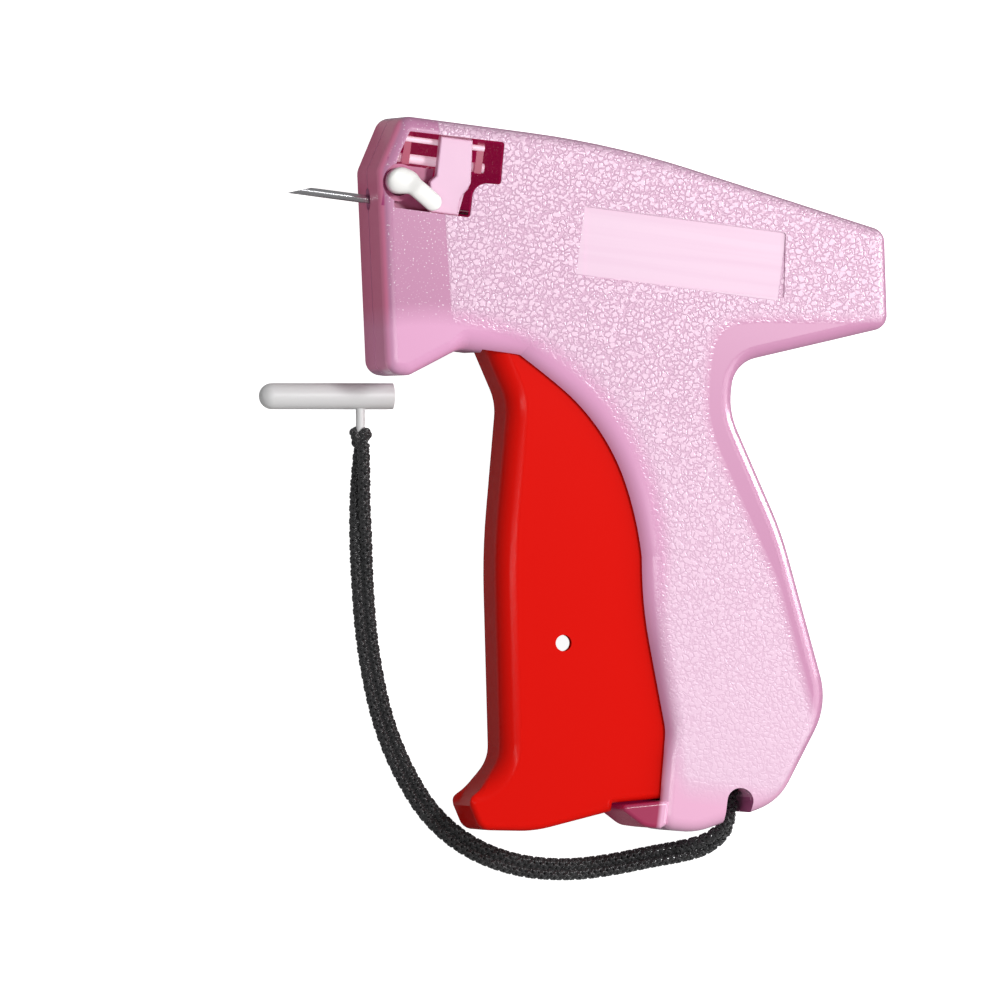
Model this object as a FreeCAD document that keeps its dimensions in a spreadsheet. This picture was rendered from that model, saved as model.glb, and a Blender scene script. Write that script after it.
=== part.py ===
import FreeCAD, Part
import math
import os
import Sketcher

# Garment tag attacher: a two-shell pistol housing with a swinging trigger that works a drive
# lever, which throws a slide and push rod through a slotted needle.
# Working frame, mm: X runs back along the needle axis from the nose face, Y up the gun,
# Z to the gun's left, with the shells parted at Z = 0. Each sub-part is then placed so that
# the gun lies on its right side, with the row origin under the middle of its box.

# Housing, side view: where its straight runs meet, and how far each corner is rounded.
half_width = 12.5
wall = 2.2
edge_round = 2.6
mouth_edge_round = 4.5
seam_depth = 0.35
seam_half = 0.22
top_height = 17.9
nose_bottom = 36.0
nose_rake = 7.2
nose_chamfer_height = 12.0
nose_chamfer_run = 3.4
crown_back = 48.0
rear_x = 111.7
rear_top = 7.2
rear_bottom = 12.8
rear_rake = 3.2
neck_x = 80.0
neck_top = 24.4
neck_bottom = 34.5
grip_swell_x = 94.5
grip_swell_y = 58.5
heel_x = 109.0
heel_y = 93.0
base_back_x = 101.0
base_back_y = 114.6
base_y = 123.4
lip_x = 66.2
lip_y = 119.8
nose_corner = 3.2
chin_x = 20.8
chin_y = 29.1
chin_run = 10.0

# Mouth that the trigger swings through, and its rounded band.
mouth_corner_x = 59.2
mouth_waist_x = 66.2
mouth_waist_y = 78.0
mouth_low_x = 75.0
mouth_low_y = 105.0
mouth_round = 32.0

# Window in the left shell, over the feed.
window_front = 4.4
window_back = 24.8
window_rim = 3.1
window_top = top_height - window_rim
window_step_y = 6.2
window_step_x = 19.4
window_bottom = 1.5
lever_recess = 4.2

# Name panel, left bare.
panel_x = 43.6
panel_y = 10.2
panel_length = 43.4
panel_height = 14.2
panel_depth = 0.4

# Tether way in the grip's base.
notch_x = 92.3
notch_y = 115.6
notch_radius = 2.8
anchor_radius = 1.5
anchor_y = 107.5
tether_way = 8.0

# Trigger.
trigger_half = 9.5
trigger_wall = 2.3
trigger_round = 4.2
trigger_overlap = 2.6
toe_x = 36.0
toe_y = 128.4
pivot_x = 80.5
pivot_y = 114.0
pivot_pin_radius = 2.0
pin_play = 0.06
trigger_swing = 11.0
finger_hole_x = 51.1
finger_hole_y = 87.3
finger_hole_radius = 1.7

# Drive: where the trigger's pin works the lever, and the lever's arms.
drive_pin_radius = 1.5
drive_height = 54.0
drive_setback = 1.7
lower_arm = 14.0
lever_half = 2.4
lever_pin_radius = 1.6
lever_hub_radius = 4.2
lever_boss_radius = 2.9
lever_web = 5.0
slot_play = 0.6
slide_pin_drop = 4.0
slide_pin_radius = 1.4

# Slide, rod and needle.
slide_half = 6.0
slide_length = 21.0
slide_top = 4.0
slide_bottom = 8.0
slide_slot_half = 2.8
slide_play = 0.25
rod_radius = 0.55
rod_rest = 18.0
needle_reach = 17.3
needle_radius = 0.9
needle_bore = 0.66
needle_slot = 0.5
hub_radius = 2.4
hub_front = 2.6
hub_length = 9.0
nose_ring_radius = 2.3
nose_hole_radius = 1.3

# Needle lock.
lock_x = 4.3
lock_y = 4.0
lock_stem_radius = 2.7
lock_head_radius = 3.0
lock_head_top = 13.0
lock_arm_length = 9.0
lock_arm_width = 4.2
lock_arm_thick = 2.4
lock_turn = 28.0

# Feed.
feed_axle_y = 9.4
feed_axle_z = 4.6
feed_axle_radius = 1.0
wheel_radius = 2.8
wheel_root = 2.0
wheel_width = 4.0
wheel_x = 12.8
pawl_rod_drop = 1.4
pawl_rod_y = window_top - pawl_rod_drop
pawl_rod_z = 7.2
pawl_rod_radius = 0.6

# Screws, spring and the cap on its tether.
screw_radius = 1.3
screw_head_radius = 2.4
boss_radius = 3.2
spring_wire = 0.6
spring_coil = 3.4
cap_radius = 2.75
cap_length = 28.6
cap_bore_radius = 1.6
cap_bore_depth = 24.0
stem_radius = 0.95
stem_length = 5.8
strand_radius = 1.3
knot_radius = 2.7
running_gap = 0.4

# Every size above goes into the sheet, from which the sketches and features take it.
doc = FreeCAD.newDocument("GarmentTagAttacher")
sheet = doc.addObject("Spreadsheet::Sheet", "Sizes")
driving_sizes = [(alias, value) for alias, value in vars().items() if isinstance(value, float)]
for row, (alias, value) in enumerate(driving_sizes, 1):
    sheet.set("A%d" % row, alias)
    sheet.set("B%d" % row, str(value))
    sheet.setAlias("B%d" % row, alias)
doc.recompute()


def v(alias):
    return float(getattr(sheet, alias))


def S(alias):
    return "Sizes." + alias


def point(x, y, z=0.0):
    return FreeCAD.Vector(x, y, z)


# ---- Helpers that make and bind objects ----

def bind(obj, prop, text):
    """Binds a property to the sheet, or sets a plain figure that is zero or a direction."""
    if isinstance(text, (int, float)):
        text = repr(float(text))
    obj.setExpression(prop, text)


def placed(obj, x, y, z):
    bind(obj, "Placement.Base.x", x)
    bind(obj, "Placement.Base.y", y)
    bind(obj, "Placement.Base.z", z)
    return obj


def cylinder(name, radius, height, x, y, z, along="z"):
    obj = doc.addObject("Part::Cylinder", name)
    bind(obj, "Radius", radius)
    bind(obj, "Height", height)
    if along == "x":
        obj.Placement = FreeCAD.Placement(point(0, 0), FreeCAD.Rotation(point(0, 1), 90))
    if along == "y":
        obj.Placement = FreeCAD.Placement(point(0, 0), FreeCAD.Rotation(point(1, 0), -90))
    return placed(obj, x, y, z)


def box(name, length, width, height, x, y, z):
    obj = doc.addObject("Part::Box", name)
    bind(obj, "Length", length)
    bind(obj, "Width", width)
    bind(obj, "Height", height)
    return placed(obj, x, y, z)


def fuse(name, parts):
    obj = doc.addObject("Part::MultiFuse", name)
    obj.Shapes = parts
    obj.Refine = True
    return obj


def cut(name, base, tools):
    obj = doc.addObject("Part::Cut", name)
    obj.Base = base
    if len(tools) == 1:
        obj.Tool = tools[0]
    else:
        obj.Tool = group(name + "Tools", tools)
    return obj


def common(name, base, tool):
    obj = doc.addObject("Part::Common", name)
    obj.Base = base
    obj.Tool = tool
    return obj


def group(name, parts):
    obj = doc.addObject("Part::Compound", name)
    obj.Links = parts
    return obj


def rounded(corners):
    """Line and arc geometry of a closed outline whose corners (x, y, radius) are rounded.

    Where two roundings would meet on a short run, both are made smaller to fit it.
    """
    count = len(corners)
    places = [point(*corner[:2]) for corner in corners]
    turns = []
    for i in range(count):
        back = (places[i - 1] - places[i]).normalize()
        forward = (places[(i + 1) % count] - places[i]).normalize()
        turns.append((back, forward, (math.pi - back.getAngle(forward)) / 2))
    reaches = [corners[i][2] * math.tan(turns[i][2]) for i in range(count)]
    shares = [1.0] * count
    for i in range(count):
        following = (i + 1) % count
        run = (places[following] - places[i]).Length
        wanted = reaches[i] + reaches[following]
        if wanted > run:
            shares[i] = min(shares[i], 0.98 * run / wanted)
            shares[following] = min(shares[following], 0.98 * run / wanted)
    runs = []
    for i in range(count):
        here = places[i]
        radius = corners[i][2] * shares[i]
        if radius == 0:
            runs.append((here, here, here, 0.0))
            continue
        back, forward, half_turn = turns[i]
        reach = reaches[i] * shares[i]
        inward = (back + forward).normalize()
        middle = here + inward * (radius / math.cos(half_turn) - radius)
        runs.append((here + back * reach, middle, here + forward * reach, radius))
    geometry = []
    for i in range(count):
        start, middle, end, radius = runs[i]
        if radius > 0:
            geometry.append(Part.Arc(start, middle, end))
        next_start = runs[(i + 1) % count][0]
        if (next_start - end).Length > 1e-4:
            geometry.append(Part.LineSegment(end, next_start))
    return geometry


def sketch_of(name, corners):
    sketch = doc.addObject("Sketcher::SketchObject", name)
    for curve in rounded(corners):
        sketch.addGeometry(as_sketch_curve(curve), False)
    return sketch


def as_sketch_curve(curve):
    if isinstance(curve, Part.Arc):
        return Part.ArcOfCircle(*arc_parts(curve))
    return curve


def arc_parts(arc):
    edge = arc.toShape()
    ends = edge.Curve
    first, last = edge.ParameterRange
    if ends.Axis.z < 0:
        start = edge.valueAt(last)
        end = edge.valueAt(first)
    else:
        start = edge.valueAt(first)
        end = edge.valueAt(last)
    circle = Part.Circle(ends.Center, point(0, 0, 1), ends.Radius)
    a = math.atan2(start.y - ends.Center.y, start.x - ends.Center.x)
    b = math.atan2(end.y - ends.Center.y, end.x - ends.Center.x)
    if b < a:
        b += 2 * math.pi
    return circle, a, b


def extrude(name, profile, height, z=0.0, down=0.0):
    """Extrudes a closed sketch along Z from z, up by height and down by down."""
    obj = doc.addObject("Part::Extrusion", name)
    obj.Base = profile
    obj.DirMode = "Custom"
    obj.Dir = point(0, 0, 1)
    obj.Solid = True
    bind(obj, "LengthFwd", height)
    bind(obj, "LengthRev", down)
    bind(obj, "Placement.Base.z", z)
    return obj


def inset(name, profile, amount):
    obj = doc.addObject("Part::Offset2D", name)
    obj.Source = profile
    obj.Join = 2
    bind(obj, "Value", amount)
    return obj


def edges_along(base, z_level, chosen):
    """Numbers of the edges in one flat face whose middle passes a test on (x, y)."""
    found = []
    for number, edge in enumerate(base.Shape.Edges, 1):
        box_of = edge.BoundBox
        if abs(box_of.ZMin - z_level) > 1e-4 or abs(box_of.ZMax - z_level) > 1e-4:
            continue
        first, last = edge.ParameterRange
        middle = edge.valueAt((first + last) / 2)
        if chosen(middle.x, middle.y):
            found.append(number)
    return found


def feature(name, shape):
    obj = doc.addObject("Part::Feature", name)
    obj.Shape = shape
    return obj


def tube(points, radius, label):
    """A tube of straight runs joined by tangent arcs through a list of points."""
    curves = []
    start = points[0]
    radii = []
    for i in range(1, len(points) - 1):
        before, here, after = points[i - 1], points[i], points[i + 1]
        back = (before - here)
        forward = (after - here)
        shorter = min(back.Length, forward.Length)
        back.normalize()
        forward.normalize()
        half_turn = (math.pi - back.getAngle(forward)) / 2
        reach = 0.45 * shorter
        bend = reach / math.tan(half_turn)
        radii.append(round(bend, 1))
        arc_start = here + back * reach
        arc_end = here + forward * reach
        inward = (back + forward).normalize()
        middle = here + inward * (bend / math.cos(half_turn) - bend)
        curves.append(Part.LineSegment(start, arc_start).toShape())
        curves.append(Part.Arc(arc_start, middle, arc_end).toShape())
        start = arc_end
    curves.append(Part.LineSegment(start, points[-1]).toShape())
    path = Part.Wire(curves)
    along = (points[1] - points[0]).normalize()
    section = Part.Wire(Part.makeCircle(radius, points[0], along))
    solid = path.makePipeShell([section], True, False)
    ideal = math.pi * radius ** 2 * path.Length
    print(label, "length", round(path.Length, 1), "volume ratio", solid.Volume / ideal,
          "tightest bend", min(radii))
    return solid


# ---- Places worked out from the driving dimensions ----

def way(angle):
    """The unit direction at an angle from +X."""
    return point(math.cos(angle), math.sin(angle))


trigger_leg_angle = math.radians(165.0)
swing = math.radians(v("trigger_swing"))
pivot = point(v("pivot_x"), -v("pivot_y"))
drive_middle = pivot + point(-v("drive_setback"), v("drive_height"))
drive_radius = (drive_middle - pivot).Length
up_the_arm = (drive_middle - pivot).normalize()
lever_pivot = drive_middle + up_the_arm * v("lower_arm")


def swung(place, centre, angle):
    """A place turned about a centre, anticlockwise as seen from +Z."""
    turn = FreeCAD.Rotation(point(0, 0, 1), math.degrees(angle))
    return centre + turn.multVec(place - centre)


drive_rest = swung(drive_middle, pivot, swing / 2)
drive_full = swung(drive_middle, pivot, -swing / 2)


def arm_angle(place):
    """Angle of a place under the lever's pivot, from straight down, positive to the rear."""
    away = place - lever_pivot
    return math.atan2(away.x, -away.y)


lever_rest = arm_angle(drive_rest)
lever_full = arm_angle(drive_full)
lever_turn = lever_full - lever_rest
upper_rise = -v("slide_pin_drop") - lever_pivot.y
slide_pin_rest = lever_pivot.x + upper_rise * math.tan(lever_turn / 2)
slide_stroke = 2 * upper_rise * math.tan(lever_turn / 2)
print("trigger pivot", pivot.x, pivot.y)
print("lever pivot", lever_pivot.x, lever_pivot.y, "turn deg", math.degrees(lever_turn))
print("lever ratio", lever_turn / swing)
print("slide stroke", slide_stroke, "ratio m/rad", slide_stroke / 1000 / swing)
print("slide pin at rest", slide_pin_rest)


# ---- Housing shells ----

half = S("half_width")
inner_half = "Sizes.half_width - Sizes.wall"
nose_front = v("nose_chamfer_run") - 2.2

housing_outline = sketch_of("HousingOutline", [
    (-nose_front, v("top_height") - v("nose_chamfer_height"), v("nose_corner")),
    (v("nose_chamfer_run") - nose_front, v("top_height"), v("nose_corner")),
    (v("crown_back"), v("top_height"), 200.0),
    (v("rear_x") - v("rear_rake"), v("rear_top"), v("nose_corner")),
    (v("rear_x"), -v("rear_bottom"), v("nose_corner")),
    (v("neck_x"), -v("neck_top"), 6.5),
    (v("neck_x"), -v("neck_bottom"), 16.0),
    (v("grip_swell_x"), -v("grip_swell_y"), 70.0),
    (v("heel_x"), -v("heel_y"), 16.0),
    (v("base_back_x"), -v("base_back_y"), 12.0),
    (v("notch_x") - 8.3, -v("base_y"), 14.0),
    (v("mouth_low_x") + 0.8, -v("base_y"), v("nose_corner")),
    (v("mouth_low_x"), -v("mouth_low_y"), 25.0),
    (v("mouth_waist_x"), -v("mouth_waist_y"), 90.0),
    (v("mouth_corner_x"), -v("chin_y"), v("mouth_round")),
    (v("chin_x"), -v("chin_y"), 6.0),
    (v("chin_x") - v("chin_run"), -v("nose_bottom"), v("nose_corner")),
    (v("nose_rake") - nose_front, -v("nose_bottom"), v("nose_corner")),
])
cavity_outline = inset("CavityOutline", housing_outline, "-Sizes.wall")
seam_outside = inset("SeamOutside", housing_outline, 1.0)
seam_inside = inset("SeamInside", housing_outline, "-Sizes.seam_depth")

# The shells' edge is open where the trigger swings in.
mouth_clear = v("wall") + 2.0
mouth_front = v("chin_x") + 5.1
mouth_outline = sketch_of("MouthOutline", [
    (mouth_front, -v("chin_y") - 7.0, 0.0),
    (mouth_front, -v("chin_y") + mouth_clear, 1.0),
    (v("mouth_corner_x") + mouth_clear, -v("chin_y") + mouth_clear, v("mouth_round") + 3.0),
    (v("mouth_waist_x") + mouth_clear, -v("mouth_waist_y"), 90.0),
    (v("mouth_low_x") + mouth_clear, -v("mouth_low_y"), 25.0),
    (v("mouth_low_x") + mouth_clear, -v("lip_y") + 2.9, 0.0),
    (v("lip_x"), -v("lip_y") + 0.4, 0.0),
    (mouth_front, -v("lip_y") + 0.4, 0.0),
])
lip_outline = sketch_of("LipOutline", [
    (v("lip_x"), -v("lip_y"), 0.8),
    (v("mouth_low_x") + 2.2, -v("lip_y") + 2.5, 0.0),
    (v("mouth_low_x") + 2.2, -v("base_y") + 1.0, 0.0),
    (v("mouth_low_x") + 1.0, -v("base_y"), 0.0),
    (v("lip_x") + 6.2, -v("base_y"), 4.0),
])
window_outline = sketch_of("WindowOutline", [
    (v("window_front") - 2.0, v("lock_y") + 4.6, 0.5),
    (v("window_front"), v("window_top"), 0.5),
    (v("window_back"), v("window_top") + 0.3, 0.6),
    (v("window_back") + 0.3, v("window_step_y"), 0.6),
    (v("window_step_x"), v("window_step_y") - 0.3, 3.0),
    (v("window_step_x"), -v("window_bottom"), 0.6),
    (v("window_front") - 1.4, -v("window_bottom"), 0.6),
])
panel_outline = sketch_of("PanelOutline", [
    (v("panel_x"), v("panel_height") - v("panel_y"), 0.5),
    (v("panel_x") + v("panel_length"), v("panel_height") - v("panel_y"), 0.5),
    (v("panel_x") + v("panel_length") + 1.4, 0.6 - v("panel_y"), 0.5),
    (v("panel_x") + 1.4, -v("panel_y") - 0.6, 0.5),
])

# Screws go in from the right side: (x, y) of each boss.
screw_places = [(14.2, -24.5), (36.0, 8.6), (101.2, -12.2), (99.0, -92.0)]
screw_socket = "Sizes.half_width - 3.0"


def on_mouth(place):
    """True along the trigger's mouth, whose edge rolls in on a larger radius."""
    return (v("chin_x") + 9.0 < place.x < v("mouth_low_x") + 0.5
            and -v("mouth_low_y") - 6.0 < place.y < -v("chin_y") + 0.01)


def round_outer_edges(name, base, z_level):
    """Rounds the edges of a shell's side face, blending to the mouth's larger radius."""
    obj = doc.addObject("Part::Fillet", name)
    obj.Base = base
    doc.recompute()
    edges = []
    for number, edge in enumerate(base.Shape.Edges, 1):
        box_of = edge.BoundBox
        if abs(box_of.ZMin - z_level) < 1e-4 and abs(box_of.ZMax - z_level) < 1e-4:
            ends = [edge.valueAt(parameter) for parameter in edge.ParameterRange]
            radii = [v("mouth_edge_round") if on_mouth(place) else v("edge_round")
                     for place in ends]
            edges.append((number, radii[0], radii[1]))
    obj.Edges = edges
    return obj


def shell(side, name):
    """One moulded half: side is +1 for the left shell and -1 for the right."""
    up = half if side > 0 else 0.0
    down = 0.0 if side > 0 else half
    deep_up = inner_half if side > 0 else 0.0
    deep_down = 0.0 if side > 0 else inner_half
    block = extrude(name + "Block", housing_outline, up, 0.0, down)
    skin = round_outer_edges(name + "Skin", block, side * v("half_width"))
    cavity = extrude(name + "Cavity", cavity_outline, deep_up, 0.0, deep_down)
    mouth = extrude(name + "Mouth", mouth_outline, deep_up, 0.0, deep_down)
    hollow = cut(name + "Hollow", skin, [cavity, mouth])
    lip_block = extrude(name + "LipBlock", lip_outline, up, 0.0, down)
    lip = doc.addObject("Part::Fillet", name + "Lip")
    lip.Base = lip_block
    doc.recompute()
    lip.Edges = [(number, 0.8, 0.8) for number in edges_along(
        lip_block, side * v("half_width"), lambda x, y: True)]

    added = [hollow, lip]
    seam_up = S("seam_half") if side > 0 else 0.0
    seam_down = 0.0 if side > 0 else S("seam_half")
    seam = cut(name + "Seam", extrude(name + "SeamOuter", seam_outside, seam_up, 0.0, seam_down),
               [extrude(name + "SeamInner", seam_inside, seam_up, 0.0, seam_down)])
    removed = [seam]

    # Bosses that the pins and screws sit in.
    def boss(label, radius, x, y, inner_z, outer_z):
        low = inner_z if side > 0 else "-(%s)" % outer_z
        return cylinder(name + label, radius, "%s - (%s)" % (outer_z, inner_z), x, y, low)

    for i, (x, y) in enumerate(screw_places):
        added.append(boss("ScrewBoss%d" % i, S("boss_radius"), x, y, "0.0", inner_half))
    lever_boss_in = "Sizes.lever_half + Sizes.running_gap"
    added.append(boss("LeverBoss", S("lever_boss_radius"), lever_pivot.x, lever_pivot.y,
                      lever_boss_in, inner_half))
    added.append(boss("PivotLand", "2 * Sizes.pivot_pin_radius", S("pivot_x"),
                      "-Sizes.pivot_y", "Sizes.trigger_half + Sizes.running_gap", inner_half))
    added.append(boss("AnchorBoss", "2 * Sizes.anchor_radius", S("notch_x"), "-Sizes.anchor_y",
                      "Sizes.tether_way / 2 + 1.0", inner_half))

    # Saddle round the tether notch, open in the middle for the tether.
    saddle = boss("Saddle", "Sizes.notch_radius + 1.6", S("notch_x"), "-Sizes.notch_y",
                  "0.0", "Sizes.half_width - Sizes.edge_round")
    added.append(common(name + "SaddleIn", saddle,
                        extrude(name + "SaddleTrim", housing_outline, up, 0.0, down)))
    notch_low = 0.0 if side > 0 else "-Sizes.half_width - 1.0"
    removed.append(cylinder(name + "Notch", S("notch_radius"), "Sizes.half_width + 1.0",
                            S("notch_x"), "-Sizes.notch_y", notch_low))
    removed.append(box(name + "NotchMouth", "2 * Sizes.notch_radius", 8.0,
                       "Sizes.half_width + 1.0", "Sizes.notch_x - Sizes.notch_radius",
                       "-Sizes.notch_y - 8.0", notch_low))
    way_low = 0.0 if side > 0 else "-Sizes.tether_way / 2"
    removed.append(box(name + "TetherWay", 4.6, 7.0, "Sizes.tether_way / 2",
                       "Sizes.notch_x - 2.3", "-Sizes.notch_y", way_low))

    # Rails above and below the slide.
    rail_low = "Sizes.slide_slot_half + Sizes.running_gap"
    rail_start = slide_pin_rest - slide_stroke - v("slide_length") / 2 - 3.0
    rail_end = slide_pin_rest + v("slide_length") / 2 + 1.5
    for label, y in (("RailTop", "Sizes.slide_top + Sizes.slide_play"),
                     ("RailBottom", "-Sizes.slide_bottom - Sizes.slide_play - 1.5")):
        low = rail_low if side > 0 else "-(%s)" % inner_half
        added.append(box(name + label, rail_end - rail_start, 1.5,
                         "%s - (%s)" % (inner_half, rail_low), rail_start, y, low))

    # Holes for the pins, blind in the wall.
    pin_depth = "Sizes.half_width - 1.0"
    for label, radius, x, y in (
            ("LeverBore", S("lever_pin_radius"), lever_pivot.x, lever_pivot.y),
            ("PivotBore", S("pivot_pin_radius"), S("pivot_x"), "-Sizes.pivot_y"),
            ("AnchorBore", S("anchor_radius"), S("notch_x"), "-Sizes.anchor_y")):
        low = 0.0 if side > 0 else "-(%s)" % pin_depth
        removed.append(cylinder(name + label, radius, pin_depth, x, y, low))

    # Needle hole and its ring in the nose, and the slot in the top for the fastener strip.
    ring_depth = 0.9
    removed.append(cylinder(name + "NoseHole", S("nose_hole_radius"), 8.0, -3.0, 0.0, 0.0, "x"))
    removed.append(cylinder(name + "NoseRing", S("nose_ring_radius"), 3.0 + ring_depth,
                            -3.0, 0.0, 0.0, "x"))
    slot_low = 0.0 if side > 0 else -2.0
    slot_long = 8.0 if side > 0 else 2.0
    removed.append(box(name + "StripSlot", 2.4, 6.0, slot_long, "Sizes.wheel_x + 0.8",
                       "Sizes.top_height - Sizes.wall - 1.0", slot_low))

    if side > 0:
        for i, (x, y) in enumerate(screw_places):
            removed.append(cylinder(name + "ScrewHole%d" % i, S("screw_radius"), screw_socket,
                                    x, y, 0.0))
        removed.append(extrude(name + "Window", window_outline, half))
        removed.append(cylinder(name + "LockRecess", S("lever_recess"), half, S("lock_x"),
                                S("lock_y"), 2.6))
        removed.append(extrude(name + "Panel", panel_outline, 2.0,
                               "Sizes.half_width - Sizes.panel_depth"))
    else:
        for i, (x, y) in enumerate(screw_places):
            removed.append(cylinder(name + "ScrewWay%d" % i, "Sizes.screw_radius + 0.2", half,
                                    x, y, "-Sizes.half_width"))
            removed.append(cylinder(name + "ScrewSeat%d" % i, "Sizes.screw_head_radius + 0.3",
                                    5.0, x, y, "-Sizes.half_width"))
        for label, x in (("SaddleFront", 4.6), ("SaddleBack", 20.2)):
            rib = box(name + label, 1.5, 6.8, "%s + Sizes.pawl_rod_z" % inner_half, x,
                      "Sizes.feed_axle_y - 1.3", "-(%s)" % inner_half)
            added.append(rib)
        removed.append(cylinder(name + "AxleSeat", S("feed_axle_radius"), 21.0, 3.0,
                                S("feed_axle_y"), S("feed_axle_z"), "x"))
        removed.append(cylinder(name + "PawlRodSeat", S("pawl_rod_radius"), 21.0, 3.0,
                                S("pawl_rod_y"), S("pawl_rod_z"), "x"))
    whole = fuse(name + "Whole", added)
    return cut(name, whole, removed)


left_housing = shell(1, "LeftHousing")
right_housing = shell(-1, "RightHousing")


# ---- Pins that the shells carry ----

pin_reach = "Sizes.half_width - 1.0"


def shell_pin(name, radius, x, y):
    pin = cylinder(name + "Rod", radius, "2 * (%s)" % pin_reach, x, y, "-(%s)" % pin_reach)
    ends = doc.addObject("Part::Chamfer", name)
    ends.Base = pin
    ends.Edges = [(1, 0.3, 0.3), (3, 0.3, 0.3)]
    return ends


trigger_pivot_pin = shell_pin("TriggerPivotPin", S("pivot_pin_radius"), S("pivot_x"),
                              "-Sizes.pivot_y")
drive_lever_pin = shell_pin("DriveLeverPin", S("lever_pin_radius"), lever_pivot.x,
                            lever_pivot.y)
strap_anchor_pin = shell_pin("StrapAnchorPin", S("anchor_radius"), S("notch_x"),
                             "-Sizes.anchor_y")


def screw(name, x, y):
    """A pan-head screw entered from the right side, with a cross recess."""
    seat = "-Sizes.half_width + 5.0"
    shank = cylinder(name + "Shank", S("screw_radius"), "2 * Sizes.half_width - 8.0 - 0.3",
                     x, y, seat)
    head = cylinder(name + "Head", S("screw_head_radius"), 1.6, x, y,
                    "-Sizes.half_width + 3.4")
    slot = box(name + "Slot", 3.0, 0.6, 0.8, x - 1.5, y - 0.3, "-Sizes.half_width + 3.4")
    slot_across = box(name + "SlotAcross", 0.6, 3.0, 0.8, x - 0.3, y - 1.5,
                      "-Sizes.half_width + 3.4")
    return cut(name, fuse(name + "Solid", [shank, head]), [slot, slot_across])


housing_screws = group("HousingScrews", [
    screw("Screw%d" % i, x, y) for i, (x, y) in enumerate(screw_places)])


# ---- Trigger ----

rear_edge = v("trigger_overlap")
lug_x = drive_rest.x
lug_y = drive_rest.y
lug_round = 3.6
barrel_radius = 2 * v("pivot_pin_radius") + 0.9
trigger_corners = [
    (26.2, -v("chin_y") + rear_edge, 0.0),
    (toe_x - 2.6, -v("chin_y") - 9.5, 12.0),
    (toe_x - 1.4, -70.0, 150.0),
    (toe_x + 5.2, -toe_y + 15.6, 8.0),
    (toe_x - 0.4, -toe_y + 4.8, 0.0),
    (toe_x + 2.4, -toe_y, 3.0),
    (toe_x + 14.0, -toe_y + 1.2, 25.0),
    (v("lip_x") - 0.4, -v("lip_y") - 1.2, 0.6),
    (v("lip_x") - 0.4, -v("lip_y") + 0.5, 0.3),
    (v("mouth_low_x") + 2.6, -v("lip_y") + 3.1, 1.0),
    (v("pivot_x") + 2.0, -v("pivot_y") - barrel_radius, 2.0),
    (v("pivot_x") + barrel_radius, -v("pivot_y") - 2.4, 3.0),
    (v("pivot_x") + barrel_radius, -v("pivot_y") + 4.0, 3.0),
    (v("mouth_low_x") + 3.2, -v("mouth_low_y"), 15.0),
    (v("mouth_waist_x") + rear_edge, -v("mouth_waist_y"), 20.0),
    (lug_x - 4.4, lug_y - 8.0, 2.0),
    (lug_x + lug_round, lug_y - lug_round - 0.2, 2.5),
    (lug_x + lug_round, lug_y + lug_round, 2.5),
    (lug_x - 7.4, lug_y + lug_round, 1.5),
    (v("mouth_corner_x") + rear_edge, -v("chin_y") + rear_edge, v("mouth_round")),
]
trigger_outline = sketch_of("TriggerOutline", trigger_corners)
front_wall = v("trigger_wall")
trigger_inside = sketch_of("TriggerInside", [
    (26.2 + 2 * front_wall, 10.0, 0.0),
    (26.2 + 2 * front_wall, -v("chin_y") - 2.0, 2.0),
    (toe_x - 2.6 + front_wall, -v("chin_y") - 10.0, 12.0),
    (toe_x - 1.4 + front_wall, -70.0, 150.0),
    (toe_x + 5.2 + front_wall, -toe_y + 15.6, 8.0),
    (toe_x + 1.4 + front_wall, -toe_y + 5.2, 1.5),
    (toe_x + 4.4 + front_wall, -toe_y + front_wall, 1.5),
    (toe_x + 14.0, -toe_y + 1.2 + front_wall, 25.0),
    (v("lip_x") + 2.0, -v("lip_y") + 0.9 + front_wall, 4.0),
    (v("pivot_x") - barrel_radius - 1.5, -v("lip_y") + 2.6 + front_wall, 1.0),
    (v("pivot_x") - barrel_radius - 1.5, -v("pivot_y") + 9.0, 2.0),
    (v("pivot_x") + 20.0, -v("pivot_y") + 9.0, 0.0),
    (v("pivot_x") + 20.0, 10.0, 0.0),
])


def symmetric(name, profile, half_height):
    return extrude(name, profile, half_height, 0.0, half_height)


def on_trigger_front(x, y):
    return x < toe_x + 6.0 and -toe_y + 5.0 < y < -v("chin_y") + rear_edge - 0.2


def on_trigger_toe(x, y):
    return (y < -toe_y + 7.5 and x < v("lip_x") - 1.5
            and not on_trigger_front(x, y))


trigger_block = symmetric("TriggerBlock", trigger_outline, S("trigger_half"))
doc.recompute()
trigger_skin = doc.addObject("Part::Fillet", "TriggerSkin")
trigger_skin.Base = trigger_block
trigger_skin.Edges = [
    (number, radius, radius)
    for chosen, radius in ((on_trigger_front, v("trigger_round")), (on_trigger_toe, 1.2))
    for side in (1, -1)
    for number in edges_along(trigger_block, side * v("trigger_half"), chosen)]

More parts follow.
